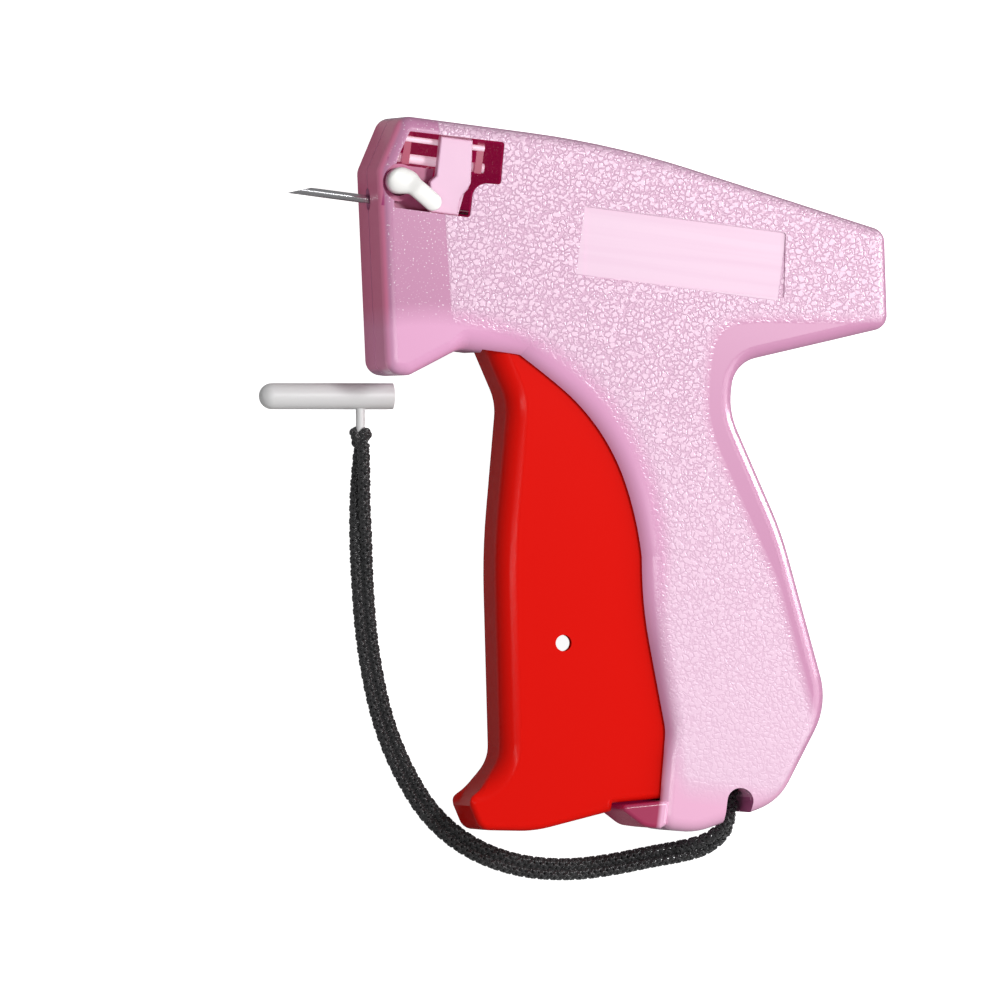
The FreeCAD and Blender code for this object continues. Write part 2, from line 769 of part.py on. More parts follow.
trigger_inner_half = "Sizes.trigger_half - Sizes.trigger_wall"
trigger_core = symmetric("TriggerCore", trigger_inside, trigger_inner_half)
trigger_barrel_gap = box("TriggerBarrelGap", 4 * barrel_radius, 4 * barrel_radius, 9.0,
                         v("pivot_x") - barrel_radius - 1.5, -v("pivot_y") - 2 * barrel_radius,
                         -4.5)
finger_hole = cylinder("FingerHole", S("finger_hole_radius"), "Sizes.trigger_half + 1.0",
                       S("finger_hole_x"), "-Sizes.finger_hole_y", 0.0)
core_hole = cylinder("CoreHole", "2.6 * Sizes.finger_hole_radius", "Sizes.trigger_half + 1.0",
                     "Sizes.finger_hole_x + 2.4", "-Sizes.finger_hole_y",
                     "-Sizes.trigger_half - 1.0")
trigger_bore = cylinder("TriggerBore", "Sizes.pivot_pin_radius + Sizes.pin_play",
                        "2 * Sizes.trigger_half + 2.0", S("pivot_x"), "-Sizes.pivot_y",
                        "-Sizes.trigger_half - 1.0")
drive_pin_depth = "Sizes.trigger_half - 0.8"
drive_pin_bore = cylinder("DrivePinBore", S("drive_pin_radius"),
                          "2 * (%s)" % drive_pin_depth, drive_rest.x, drive_rest.y,
                          "-(%s)" % drive_pin_depth)

# The peg that the spring's leg bears on, and the way kept clear of the lever's bosses.
peg_radius = 1.5
peg_along = 20.0
peg_drop = peg_radius + v("spring_wire") / 2 + 0.05
leg_start = pivot + way(trigger_leg_angle - math.pi / 2) * v("spring_coil")
peg_place = leg_start + way(trigger_leg_angle) * peg_along
peg_place += way(trigger_leg_angle + math.pi / 2) * peg_drop
spring_peg = cylinder("SpringPeg", peg_radius, "2 * (%s)" % trigger_inner_half, peg_place.x,
                      peg_place.y, "-(%s)" % trigger_inner_half)
boss_near = swung(lever_pivot, pivot, swing)
boss_clear = "Sizes.lever_boss_radius + Sizes.running_gap + 0.1"
boss_way = box("BossWay", (lever_pivot - boss_near).Length, "2 * (%s)" % boss_clear,
               "2 * Sizes.trigger_half + 2.0", boss_near.x, "%r - (%s)" % (boss_near.y, boss_clear),
               "-Sizes.trigger_half - 1.0")
boss_way_end = cylinder("BossWayEnd", boss_clear, "2 * Sizes.trigger_half + 2.0", boss_near.x,
                        boss_near.y, "-Sizes.trigger_half - 1.0")
trigger_moulding = cut("TriggerMoulding", trigger_skin, [
    trigger_core, trigger_barrel_gap, finger_hole, core_hole, boss_way, boss_way_end])
trigger = cut("Trigger", fuse("TriggerPegged", [trigger_moulding, spring_peg]), [
    trigger_bore, drive_pin_bore])
trigger_drive_pin = cylinder("TriggerDrivePin", S("drive_pin_radius"),
                             "2 * (%s)" % drive_pin_depth, drive_rest.x, drive_rest.y,
                             "-(%s)" % drive_pin_depth)


# ---- Drive lever ----

def unit(vector):
    return point(vector.x, vector.y).normalize()


slide_pin_place = point(slide_pin_rest, -v("slide_pin_drop"))
low_way = unit(drive_rest - lever_pivot)
high_way = unit(slide_pin_place - lever_pivot)
low_far = (drive_rest - lever_pivot).Length
low_near = v("lower_arm")
high_far = (slide_pin_place - lever_pivot).Length
high_near = upper_rise


def strip(name, direction, start, finish, half_wide, radius):
    """A rounded strip from start to finish along a direction out of the lever's pivot."""
    across = point(-direction.y, direction.x)
    places = [
        lever_pivot + direction * start + across * half_wide,
        lever_pivot + direction * finish + across * half_wide,
        lever_pivot + direction * finish - across * half_wide,
        lever_pivot + direction * start - across * half_wide,
    ]
    return sketch_of(name, [(place.x, place.y, radius) for place in places])


def fork_slot(name, direction, near, far, pin_radius):
    open_half = pin_radius + v("slot_play")
    outline = strip(name + "Outline", direction, near - open_half - 0.3, far + open_half + 0.3,
                    open_half, open_half - 0.01)
    return symmetric(name, outline, "Sizes.lever_half + 1.0")


low_half = v("drive_pin_radius") + v("slot_play") + 2.0
high_half = v("slide_pin_radius") + v("slot_play") + 1.9
web_half = v("lever_web") / 2
low_plate = symmetric("LeverLow", strip(
    "LeverLowOutline", low_way, -2.0, low_far + low_half + 0.8, low_half, low_half - 0.6),
    S("lever_half"))
fork_start = high_near - high_half - 2.2
fork_plate = symmetric("LeverFork", strip(
    "LeverForkOutline", high_way, fork_start, high_far + high_half + 0.6, high_half,
    high_half - 0.6), S("lever_half"))
hub_plate = cylinder("LeverHub", S("lever_hub_radius"), "2 * Sizes.lever_half",
                     lever_pivot.x, lever_pivot.y, "-Sizes.lever_half")


def bar(name, start, end):
    """A flat bar with round ends between two places of the lever."""
    along = unit(end - start)
    across = point(-along.y, along.x)
    corners = []
    for place, sense in ((start, -1), (end, 1)):
        for hand in (-sense, sense):
            corner = place + along * (sense * web_half) + across * (hand * web_half)
            corners.append((corner.x, corner.y, web_half - 0.02))
    return symmetric(name, sketch_of(name + "Outline", corners), S("lever_half"))


# The lever's web is cranked forward, to pass the housing's waist behind the trigger.
crank_x = v("neck_x") - v("wall") - v("running_gap") - web_half
crank_places = [
    lever_pivot,
    point(crank_x, -v("neck_bottom") - 3.0),
    point(crank_x, -v("neck_top") - 1.1),
    point(v("neck_x") + 2.0, -v("neck_top") + 9.9),
    lever_pivot + high_way * (fork_start + 2.0),
]
web_bars = [bar("LeverWeb%d" % i, start, end)
            for i, (start, end) in enumerate(zip(crank_places, crank_places[1:]))]
lever_bore = cylinder("LeverBore", "Sizes.lever_pin_radius + Sizes.pin_play",
                      "2 * Sizes.lever_half + 2.0", lever_pivot.x, lever_pivot.y,
                      "-Sizes.lever_half - 1.0")
drive_lever = cut("DriveLever", fuse("DriveLeverPlate", [low_plate, hub_plate, fork_plate] + web_bars), [
    fork_slot("LowSlot", low_way, low_near, low_far, v("drive_pin_radius")),
    fork_slot("HighSlot", high_way, high_near, high_far, v("slide_pin_radius")),
    lever_bore])


# ---- Slide and push rod ----

slide_start = slide_pin_rest - v("slide_length") / 2
slide_body = box("SlideBody", S("slide_length"), "Sizes.slide_top + Sizes.slide_bottom",
                 "2 * Sizes.slide_half", slide_start, "-Sizes.slide_bottom",
                 "-Sizes.slide_half")
slide_slot = box("SlideSlot", "Sizes.slide_length - 6.0", 30.0, "2 * Sizes.slide_slot_half",
                 slide_start + 3.0, -15.0, "-Sizes.slide_slot_half")
slide_pin_depth = "Sizes.slide_half - 0.8"
slide_pin_bore = cylinder("SlidePinBore", S("slide_pin_radius"), "2 * (%s)" % slide_pin_depth,
                          slide_pin_rest, "-Sizes.slide_pin_drop", "-(%s)" % slide_pin_depth)
rod_socket_depth = 2.4
rod_socket = cylinder("RodSocket", S("rod_radius"), rod_socket_depth, slide_start, 0.0, 0.0, "x")
slide = cut("Slide", slide_body, [slide_slot, slide_pin_bore, rod_socket])
slide_drive_pin = cylinder("SlideDrivePin", S("slide_pin_radius"),
                           "2 * (%s)" % slide_pin_depth, slide_pin_rest,
                           "-Sizes.slide_pin_drop", "-(%s)" % slide_pin_depth)
push_rod = cylinder("PushRod", S("rod_radius"), slide_start + rod_socket_depth - v("rod_rest"),
                    S("rod_rest"), 0.0, 0.0, "x")
rod_guide_block = box("RodGuideBlock", 5.0, 7.0, "2 * (%s)" % inner_half, 30.0, -3.5,
                      "-(%s)" % inner_half)
rod_guide_bore = cylinder("RodGuideBore", "Sizes.rod_radius + Sizes.pin_play", 7.0, 29.0, 0.0,
                          0.0, "x")
rod_guide = cut("RodGuide", rod_guide_block, [rod_guide_bore])


# ---- Needle, its hub and its seat ----

needle_tube = cylinder("NeedleTube", S("needle_radius"),
                       "Sizes.needle_reach + Sizes.hub_front + 4.0", "-Sizes.needle_reach",
                       0.0, 0.0, "x")
needle_way = cylinder("NeedleWay", S("needle_bore"),
                      "Sizes.needle_reach + Sizes.hub_front + 6.0", "-Sizes.needle_reach - 1.0",
                      0.0, 0.0, "x")
needle_split = box("NeedleSplit", "Sizes.needle_reach + Sizes.hub_front + 6.0", 2.0,
                   S("needle_slot"), "-Sizes.needle_reach - 1.0", 0.0,
                   "-Sizes.needle_slot / 2")
bevel_profile = sketch_of("NeedleBevelOutline", [
    (-v("needle_reach") - 1.0, -v("needle_radius") + 0.1, 0.0),
    (-v("needle_reach") - 1.0, 2.0, 0.0),
    (-v("needle_reach") + 6.5, 2.0, 0.0),
    (-v("needle_reach") + 4.6, v("needle_radius") - 0.1, 3.0),
    (-v("needle_reach"), -v("needle_radius") + 0.1, 0.0),
])
needle_bevel = symmetric("NeedleBevel", bevel_profile, 2.0)
needle = cut("Needle", needle_tube, [needle_way, needle_split, needle_bevel])
hub_body = cylinder("HubBody", S("hub_radius"), S("hub_length"), S("hub_front"), 0.0, 0.0, "x")
hub_flange = cylinder("HubFlange", "Sizes.hub_radius + 0.7", 1.4,
                      "Sizes.hub_front + Sizes.hub_length - 1.4", 0.0, 0.0, "x")
hub_shank_way = cylinder("HubShankWay", S("needle_radius"), 4.0, S("hub_front"), 0.0, 0.0, "x")
hub_rod_way = cylinder("HubRodWay", "Sizes.needle_bore + 0.3", "Sizes.hub_length + 1.0",
                       S("hub_front"), 0.0, 0.0, "x")
needle_hub = cut("NeedleHub", fuse("HubSolid", [hub_body, hub_flange]),
                 [hub_shank_way, hub_rod_way])

seat_block = box("SeatBlock", 8.4, 11.8, "%s + 6.5" % inner_half, "Sizes.hub_front + 0.6", -4.0,
                 "-(%s)" % inner_half)
seat_boss = cylinder("SeatBoss", "Sizes.lever_recess - 0.25", 5.4, S("lock_x"), S("lock_y"), 2.9)
seat_way = cylinder("SeatWay", "Sizes.hub_radius + 0.05", 12.0, 0.0, 0.0, 0.0, "x")
seat_flange_way = cylinder("SeatFlangeWay", "Sizes.hub_radius + 0.75", 3.0,
                           "Sizes.hub_front + Sizes.hub_length - 1.45", 0.0, 0.0, "x")
seat_lock_way = cylinder("SeatLockWay", "Sizes.lock_stem_radius + Sizes.pin_play", 12.0,
                         S("lock_x"), S("lock_y"), 2.5)
needle_seat = cut("NeedleSeat", fuse("SeatSolid", [seat_block, seat_boss]),
                  [seat_way, seat_flange_way, seat_lock_way])

knife_blade = cut("KnifeBlade", box(
    "BladePlate", 0.5, 3.6, 7.0, "Sizes.hub_front + Sizes.hub_length", -4.5, -3.5), [
    cylinder("BladeNotch", 0.9, 2.0, "Sizes.hub_front + Sizes.hub_length - 1.0", 0.0, 0.0, "x")])


# ---- Needle lock lever ----

lock_stem = cylinder("LockStem", S("lock_stem_radius"), "Sizes.lock_head_top - 3.0 - 2.0",
                     S("lock_x"), S("lock_y"), 3.0)
lock_head = cylinder("LockHead", S("lock_head_radius"), "Sizes.lock_head_top - 8.5",
                     S("lock_x"), S("lock_y"), 8.5)
arm_way = swung(point(1.0, 0.0), point(0.0, 0.0), -math.radians(v("lock_turn")))
arm_across = point(-arm_way.y, arm_way.x)
lock_centre = point(v("lock_x"), v("lock_y"))
arm_half = v("lock_arm_width") / 2
arm_corners = []
for along, across in ((-0.5, 1), (1, 1), (1, -1), (-0.5, -1)):
    reach = v("lock_arm_length") if along > 0 else -1.0
    place = lock_centre + arm_way * reach + arm_across * (across * arm_half)
    arm_corners.append((place.x, place.y, arm_half - 0.15 if along > 0 else 0.3))
lock_arm = extrude("LockArm", sketch_of("LockArmOutline", arm_corners), S("lock_arm_thick"),
                   "Sizes.lock_head_top - 1.4")
needle_lock_lever = fuse("NeedleLockLever", [lock_stem, lock_head, lock_arm])


# ---- Feed: guide plate, star wheel, axle, pawl ----

guide_low = "Sizes.half_width - Sizes.wall - 1.5"
guide_back = extrude("GuideBack", sketch_of("GuideBackOutline", [
    (11.3, v("window_top") + 0.6, 0.0),
    (18.2, v("window_top") + 0.6, 0.0),
    (18.2, 5.0, 3.0),
    (17.2, -v("window_bottom") - 1.6, 0.0),
    (13.6, -v("window_bottom") - 1.6, 0.0),
]), 1.5, guide_low)
guide_face = extrude("GuideFace", sketch_of("GuideFaceOutline", [
    (11.3, v("window_top") - 0.1, 0.0),
    (18.2, v("window_top") - 0.1, 0.0),
    (18.2, 5.0, 3.0),
    (17.2, -v("window_bottom") + 0.1, 0.0),
    (13.6, -v("window_bottom") + 0.1, 0.0),
]), 2.3, guide_low)
fastener_guide = fuse("FastenerGuide", [guide_back, guide_face])

wheel = doc.addObject("PartDesign::Body", "FeedWheel")
wheel_plane = [f for f in wheel.Origin.OriginFeatures if f.Role == "XY_Plane"][0]


def body_sketch(body, name, plane):
    sketch = body.newObject("Sketcher::SketchObject", name)
    sketch.AttachmentSupport = [(plane, "")]
    sketch.MapMode = "FlatFace"
    return sketch


wheel_disc_sketch = body_sketch(wheel, "WheelDiscSketch", wheel_plane)
for radius in (S("wheel_root"), "Sizes.feed_axle_radius + Sizes.pin_play"):
    ring = wheel_disc_sketch.addGeometry(Part.Circle(point(0, 0), point(0, 0, 1), 1.0), False)
    wheel_disc_sketch.addConstraint(Sketcher.Constraint("Coincident", ring, 3, -1, 1))
    dimension = wheel_disc_sketch.addConstraint(Sketcher.Constraint("Radius", ring, 1.0 + ring))
    wheel_disc_sketch.setExpression("Constraints[%d]" % dimension, radius)
wheel_disc = wheel.newObject("PartDesign::Pad", "WheelDisc")
wheel_disc.Profile = wheel_disc_sketch
wheel_disc.setExpression("Length", S("wheel_width"))
tooth_sketch = body_sketch(wheel, "ToothSketch", wheel_plane)
tooth_root = v("wheel_root") - 0.15
tooth_tip = v("wheel_radius")
for curve in rounded([(tooth_root, -0.45, 0.0), (tooth_tip, -0.15, 0.0),
                      (tooth_tip, 0.15, 0.0), (tooth_root, 0.45, 0.0)]):
    tooth_sketch.addGeometry(curve, False)
tooth = wheel.newObject("PartDesign::Pad", "Tooth")
tooth.Profile = tooth_sketch
tooth.setExpression("Length", S("wheel_width"))
teeth = wheel.newObject("PartDesign::PolarPattern", "Teeth")
teeth.Originals = [tooth]
teeth.Axis = (tooth_sketch, ["N_Axis"])
teeth.Angle = 360.0
teeth.Occurrences = 10
wheel.Tip = teeth
wheel.Placement = FreeCAD.Placement(point(0, 0), FreeCAD.Rotation(point(0, 1), 90))
placed(wheel, S("wheel_x"), S("feed_axle_y"), S("feed_axle_z"))

feed_axle = cylinder("FeedAxle", S("feed_axle_radius"), 19.2, 3.4, S("feed_axle_y"),
                     S("feed_axle_z"), "x")
doc.recompute()

pawl_rod = cylinder("PawlRod", S("pawl_rod_radius"), 17.7, 4.0, S("pawl_rod_y"),
                    S("pawl_rod_z"), "x")
rod_place = point(0.0, v("pawl_rod_y"), v("pawl_rod_z"))
axle_place = point(0.0, v("feed_axle_y"), v("feed_axle_z"))
to_wheel = (axle_place - rod_place).normalize()
pawl_clear = 0.3
pawl_reach = (axle_place - rod_place).Length - v("wheel_radius") - pawl_clear
pawl_x = v("wheel_x") + 0.8
pawl_ring = cylinder("PawlRing", "2 * Sizes.pawl_rod_radius", 1.6, pawl_x, S("pawl_rod_y"),
                     S("pawl_rod_z"), "x")
pawl_finger = doc.addObject("Part::Box", "PawlFinger")
pawl_finger.Length = pawl_reach
pawl_finger.Width = 0.8
pawl_finger.Height = 1.6
finger_turn = FreeCAD.Rotation(to_wheel, point(1.0, 0.0).cross(to_wheel), point(1.0, 0.0), "XZY")
pawl_finger.Placement = FreeCAD.Placement(
    rod_place + point(pawl_x, 0.0) - finger_turn.multVec(point(0.0, 0.4)), finger_turn)
pawl_bore = cylinder("PawlBore", "Sizes.pawl_rod_radius + Sizes.pin_play", 3.0, pawl_x - 0.7,
                     S("pawl_rod_y"), S("pawl_rod_z"), "x")
feed_pawl = cut("FeedPawl", fuse("PawlSolid", [pawl_ring, pawl_finger]), [pawl_bore])


# ---- Return spring: a torsion spring round the trigger's pin ----

coil_radius = v("spring_coil")
wire_radius = v("spring_wire") / 2
spring_pitch = v("spring_wire") + 0.08
boss_x, boss_y = screw_places[3]
boss_way = point(boss_x, boss_y) - pivot
housing_leg_angle = math.atan2(boss_way.y, boss_way.x) + math.asin(
    (v("boss_radius") + wire_radius + 0.05 - coil_radius) / boss_way.Length)


def spring_points():
    """Corners of the wire: the trigger's leg, a left-hand coil, and the leg on a screw boss."""
    first = trigger_leg_angle - math.pi / 2
    last = housing_leg_angle + math.pi / 2
    turned = (first - last) % (2 * math.pi) + 5 * 2 * math.pi
    count = round(turned / math.radians(30.0))
    step = turned / count
    height = spring_pitch * turned / (2 * math.pi)
    low = pivot + point(0.0, 0.0, -height / 2)
    high = pivot + point(0.0, 0.0, height / 2)
    places = [low + way(first) * coil_radius + way(trigger_leg_angle) * (peg_along + 3.0)]
    for i in range(count):
        done = (i + 0.5) / count
        corner = way(first - (i + 0.5) * step) * (coil_radius / math.cos(step / 2))
        places.append(low + corner + point(0.0, 0.0, done * height))
    places.append(high + way(last) * coil_radius + way(housing_leg_angle) * (
        boss_way.Length + 2.0))
    return places


return_spring = feature("ReturnSpring", tube(spring_points(), wire_radius, "spring wire"))


# ---- Needle cap on its tether ----

rest_level = -v("half_width")
cap_turned = 7.2
cap_back = point(12.2, -40.0, rest_level + v("cap_radius"))
cap_turn = FreeCAD.Rotation(point(0, 0, 1), cap_turned)
cap_way = cap_turn.multVec(point(-1.0, 0.0))
stem_way = cap_turn.multVec(point(0.0, -1.0))
stem_along = 6.9


def cap_shape():
    """A tube closed by a round end, with a stem for the tether on its side."""
    straight = v("cap_length") - v("cap_radius")
    round_end = cap_back + cap_way * straight
    tube = Part.makeCylinder(v("cap_radius"), straight, cap_back, cap_way)
    dome = Part.makeSphere(v("cap_radius"), round_end)
    stem_root = cap_back + cap_way * stem_along
    stem = Part.makeCylinder(v("stem_radius"), v("cap_radius") + v("stem_length"), stem_root,
                             stem_way)
    bore = Part.makeCylinder(v("cap_bore_radius"), v("cap_bore_depth"), cap_back, cap_way)
    return tube.fuse([dome, stem]).cut(bore).removeSplitter()


needle_cap = feature("NeedleCap", cap_shape())


# ---- Tether: one braided cord doubled, its two strands side by side on the table ----

strand_outer = [
    (6.9, -50.9, -11.1), (7.0, -57.2, -11.17), (7.5, -64.0, -11.17), (8.6, -72.4, -11.17),
    (10.1, -80.8, -11.17), (12.0, -90.2, -11.17), (14.8, -99.9, -11.17),
    (18.5, -109.6, -11.17), (24.0, -119.0, -11.17), (31.0, -127.5, -11.17),
    (40.4, -133.3, -11.17), (51.2, -135.8, -11.17), (62.1, -135.4, -11.17),
    (72.0, -133.0, -11.17), (80.2, -130.2, -11.05), (86.1, -128.4, -9.8),
    (90.9, -126.3, -7.5), (94.0, -122.3, -4.9), (93.8, -118.0, -2.8), (92.8, -114.1, -1.7),
    (92.3, -109.15, -1.45)]
strand_inner = [
    (7.0, -50.9, -8.48), (8.0, -57.0, -8.7), (9.4, -63.0, -9.3), (10.9, -70.0, -10.1),
    (12.2, -77.5, -10.95), (14.6, -89.4, -11.17), (17.5, -98.9, -11.17),
    (21.2, -108.2, -11.17), (26.4, -117.4, -11.17), (32.8, -125.3, -11.17),
    (41.6, -130.5, -11.17), (51.4, -133.0, -11.17), (61.7, -132.6, -11.17),
    (71.2, -130.2, -11.17), (79.4, -127.6, -11.0), (85.1, -125.6, -9.4),
    (89.0, -124.1, -6.4), (91.6, -122.6, -2.8), (93.2, -119.3, 0.1), (92.8, -114.5, 1.25),
    (92.3, -109.15, 1.45)]


tether_strand_outer = feature("TetherStrandOuter", tube(
    [point(*place) for place in strand_outer], v("strand_radius"), "outer strand"))
tether_strand_inner = feature("TetherStrandInner", tube(
    [point(*place) for place in strand_inner], v("strand_radius"), "inner strand"))


def knot_shape():
    """The cord's knot, round the end of the cap's stem and over the ends of both strands."""
    stem_end = cap_back + cap_way * stem_along + stem_way * (v("cap_radius") + v("stem_length"))
    middle = point(stem_end.x, stem_end.y, rest_level + v("knot_radius"))
    body = Part.makeSphere(v("knot_radius"), middle)
    seats = [Part.makeCylinder(v("stem_radius"), 6.0, stem_end, stem_way * -1)]
    for places in (strand_outer, strand_inner):
        start = point(*places[0])
        along = point(*places[1]) - start
        seats.append(Part.makeCylinder(v("strand_radius"), 5.0, start, along))
    return body.cut(seats)


tether_knot = feature("TetherKnot", knot_shape())
doc.recompute()


# ---- Names, place in the row frame, checks and files ----

own_nodes = {
    "left_housing": left_housing,
    "right_housing": right_housing,
    "housing_screws": housing_screws,
    "trigger_pivot_pin": trigger_pivot_pin,
    "drive_lever_pin": drive_lever_pin,
    "strap_anchor_pin": strap_anchor_pin,
    "rod_guide": rod_guide,
    "needle": needle,
    "needle_hub": needle_hub,
    "needle_seat": needle_seat,
    "knife_blade": knife_blade,
    "fastener_guide": fastener_guide,
    "feed_axle": feed_axle,
    "pawl_rod": pawl_rod,
    "return_spring": return_spring,
    "needle_lock_lever": needle_lock_lever,
    "trigger": trigger,
    "trigger_drive_pin": trigger_drive_pin,
    "drive_lever": drive_lever,
    "slide": slide,
    "slide_drive_pin": slide_drive_pin,
    "push_rod": push_rod,
    "feed_wheel": wheel,
    "feed_pawl": feed_pawl,
}
tether_nodes = {
    "needle_cap": needle_cap,
    "tether_knot": tether_knot,
    "tether_strand_outer": tether_strand_outer,
    "tether_strand_inner": tether_strand_inner,
}

whole_box = FreeCAD.BoundBox()
for part in own_nodes.values():
    whole_box.add(part.Shape.optimalBoundingBox(False))
to_row = FreeCAD.Placement(
    point(-whole_box.Center.x, -whole_box.Center.y, -whole_box.ZMin), FreeCAD.Rotation())
print("row origin in the working frame", -to_row.Base)
print("size without the tether", whole_box.XLength, whole_box.YLength, whole_box.ZLength)

nodes = {**own_nodes, **tether_nodes}
for node, part in nodes.items():
    part.Label = node
    if "Placement" in [name for name, expression in part.ExpressionEngine]:
        part.setExpression("Placement", None)
    for axis, shift in zip("xyz", to_row.Base):
        bound = [text for name, text in part.ExpressionEngine
                 if name in (".Placement.Base." + axis, "Placement.Base." + axis)]
        if bound:
            part.setExpression("Placement.Base." + axis, "(%s) + (%r)" % (bound[0], shift))
    if not part.ExpressionEngine or part.TypeId in ("Part::Cut", "Part::MultiFuse"):
        part.Placement = to_row.multiply(part.Placement)
doc.recompute()

faults = [obj.Name for obj in doc.Objects
          if any(state in ("Invalid", "Error") for state in obj.State)]
for node, part in nodes.items():
    if part.Shape.isNull() or not part.Shape.isValid():
        faults.append(node)
if faults:
    raise RuntimeError("failed objects: " + ", ".join(faults))

os.makedirs("parts", exist_ok=True)
for node, part in nodes.items():
    part.Shape.exportStep("parts/%s.step" % node)
    print(node, len(part.Shape.Solids), round(part.Shape.Volume, 1))
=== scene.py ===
import bmesh
import bpy
import math
from mathutils import Matrix, Vector


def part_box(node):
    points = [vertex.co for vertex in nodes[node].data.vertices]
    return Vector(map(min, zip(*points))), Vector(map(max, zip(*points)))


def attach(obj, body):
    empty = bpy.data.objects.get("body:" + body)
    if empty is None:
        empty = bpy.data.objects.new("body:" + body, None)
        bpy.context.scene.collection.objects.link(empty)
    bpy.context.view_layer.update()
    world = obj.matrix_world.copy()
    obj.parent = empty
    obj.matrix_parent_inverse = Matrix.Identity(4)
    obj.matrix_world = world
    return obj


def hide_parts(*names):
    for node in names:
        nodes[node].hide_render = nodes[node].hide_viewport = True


# A garment tag attacher lying on its right side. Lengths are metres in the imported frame.
# "Gun" places are measured from the needle's root: back along the needle, up the gun and out
# of its left side. toRow() moves them into the frame.
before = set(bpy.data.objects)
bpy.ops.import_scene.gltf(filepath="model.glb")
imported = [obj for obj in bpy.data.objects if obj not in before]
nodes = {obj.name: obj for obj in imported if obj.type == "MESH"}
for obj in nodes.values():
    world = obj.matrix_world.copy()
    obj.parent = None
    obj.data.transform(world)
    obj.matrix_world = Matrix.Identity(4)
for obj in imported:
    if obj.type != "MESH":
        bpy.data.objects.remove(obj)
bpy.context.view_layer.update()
gunOrigin = Vector((0.0470117, -0.0551584, -0.0125))
mm = 0.001


def toRow(x, y, z=0.0):
    return Vector((x, y, z)) - gunOrigin


print("frame loaded:", len(nodes), "nodes")


# Materials

def toLinear(hexColour):
    values = []
    for start in (1, 3, 5):
        s = int(hexColour[start:start + 2], 16) / 255
        values.append(s / 12.92 if s <= 0.04045 else ((s + 0.055) / 1.055) ** 2.4)
    return (*values, 1.0)


def addNode(tree, kind, settings=None, inputs=None):
    # kind is a type of node, or a formula that maths nodes work out, such as
    # ("MULTIPLY", ("SUBTRACT", x, 0.5), 4.0). An input may be a formula too.
    if isinstance(kind, tuple):
        settings, inputs = {"operation": kind[0]}, dict(enumerate(kind[1:]))
        kind = "ShaderNodeMath"
    node = tree.nodes.new(kind)
    for name, value in (settings or {}).items():
        setattr(node, name, value)
    for key, value in (inputs or {}).items():
        if isinstance(value, tuple) and isinstance(value[0], str):
            value = addNode(tree, value).outputs[0]
        if isinstance(value, bpy.types.NodeSocket):
            tree.links.new(value, node.inputs[key])
        else:
            node.inputs[key].default_value = value
    return node


def newMaterial(name, shaderInputs):
    material = bpy.data.materials.new(name)
    material.use_nodes = True
    tree = material.node_tree
    shader = tree.nodes["Principled BSDF"]
    for key, value in shaderInputs.items():
        shader.inputs[key].default_value = value
    return material, tree, shader


# Formulas. Places and widths are given in gun millimetres; what is measured is in metres.

def clamped(value):
    return ("MINIMUM", ("MAXIMUM", value, 0.0), 1.0)


def ramp(value, start, slope):
    # 0 up to a start, then rising at a slope to 1
    return clamped(("MULTIPLY", ("SUBTRACT", value, start), slope))


def fade(away, soft):
    # 0 to 1 across a width, half way at 0
    return clamped(("DIVIDE", ("ADD", away, soft * mm / 2), soft * mm))


def within(value, low, high, soft):
    # 1 between two levels, blended to 0 over a width inside each
    return ("MULTIPLY", clamped(("DIVIDE", ("SUBTRACT", value, low * mm), soft * mm)),
            clamped(("DIVIDE", ("SUBTRACT", high * mm, value), soft * mm)))


def product(*factors):
    result = factors[0]
    for factor in factors[1:]:
        result = ("MULTIPLY", result, factor)
    return result


def inverse(mask):
    return ("SUBTRACT", 1.0, mask)


def beyondLine(x, y, line):
    # how far to the right of a line from its start to its end
    start, end = line
    along = (Vector(end) - Vector(start)).normalized()
    return ("ADD", ("MULTIPLY", ("SUBTRACT", x, start[0] * mm), along.y),
            ("MULTIPLY", ("SUBTRACT", y, start[1] * mm), -along.x))


def beyondCircle(x, y, centre, radius):
    # how far outside a circle
    legs = [("POWER", ("ABSOLUTE", ("SUBTRACT", value, middle * mm)), 2.0)
            for value, middle in zip((x, y), centre)]
    return ("SUBTRACT", ("SQRT", ("ADD", legs[0], legs[1])), radius * mm)


# The mouth's edge over the trigger, an arc in gun millimetres.
mouthArc = {"centre": (19.4, -72.3), "radius": 45.1}


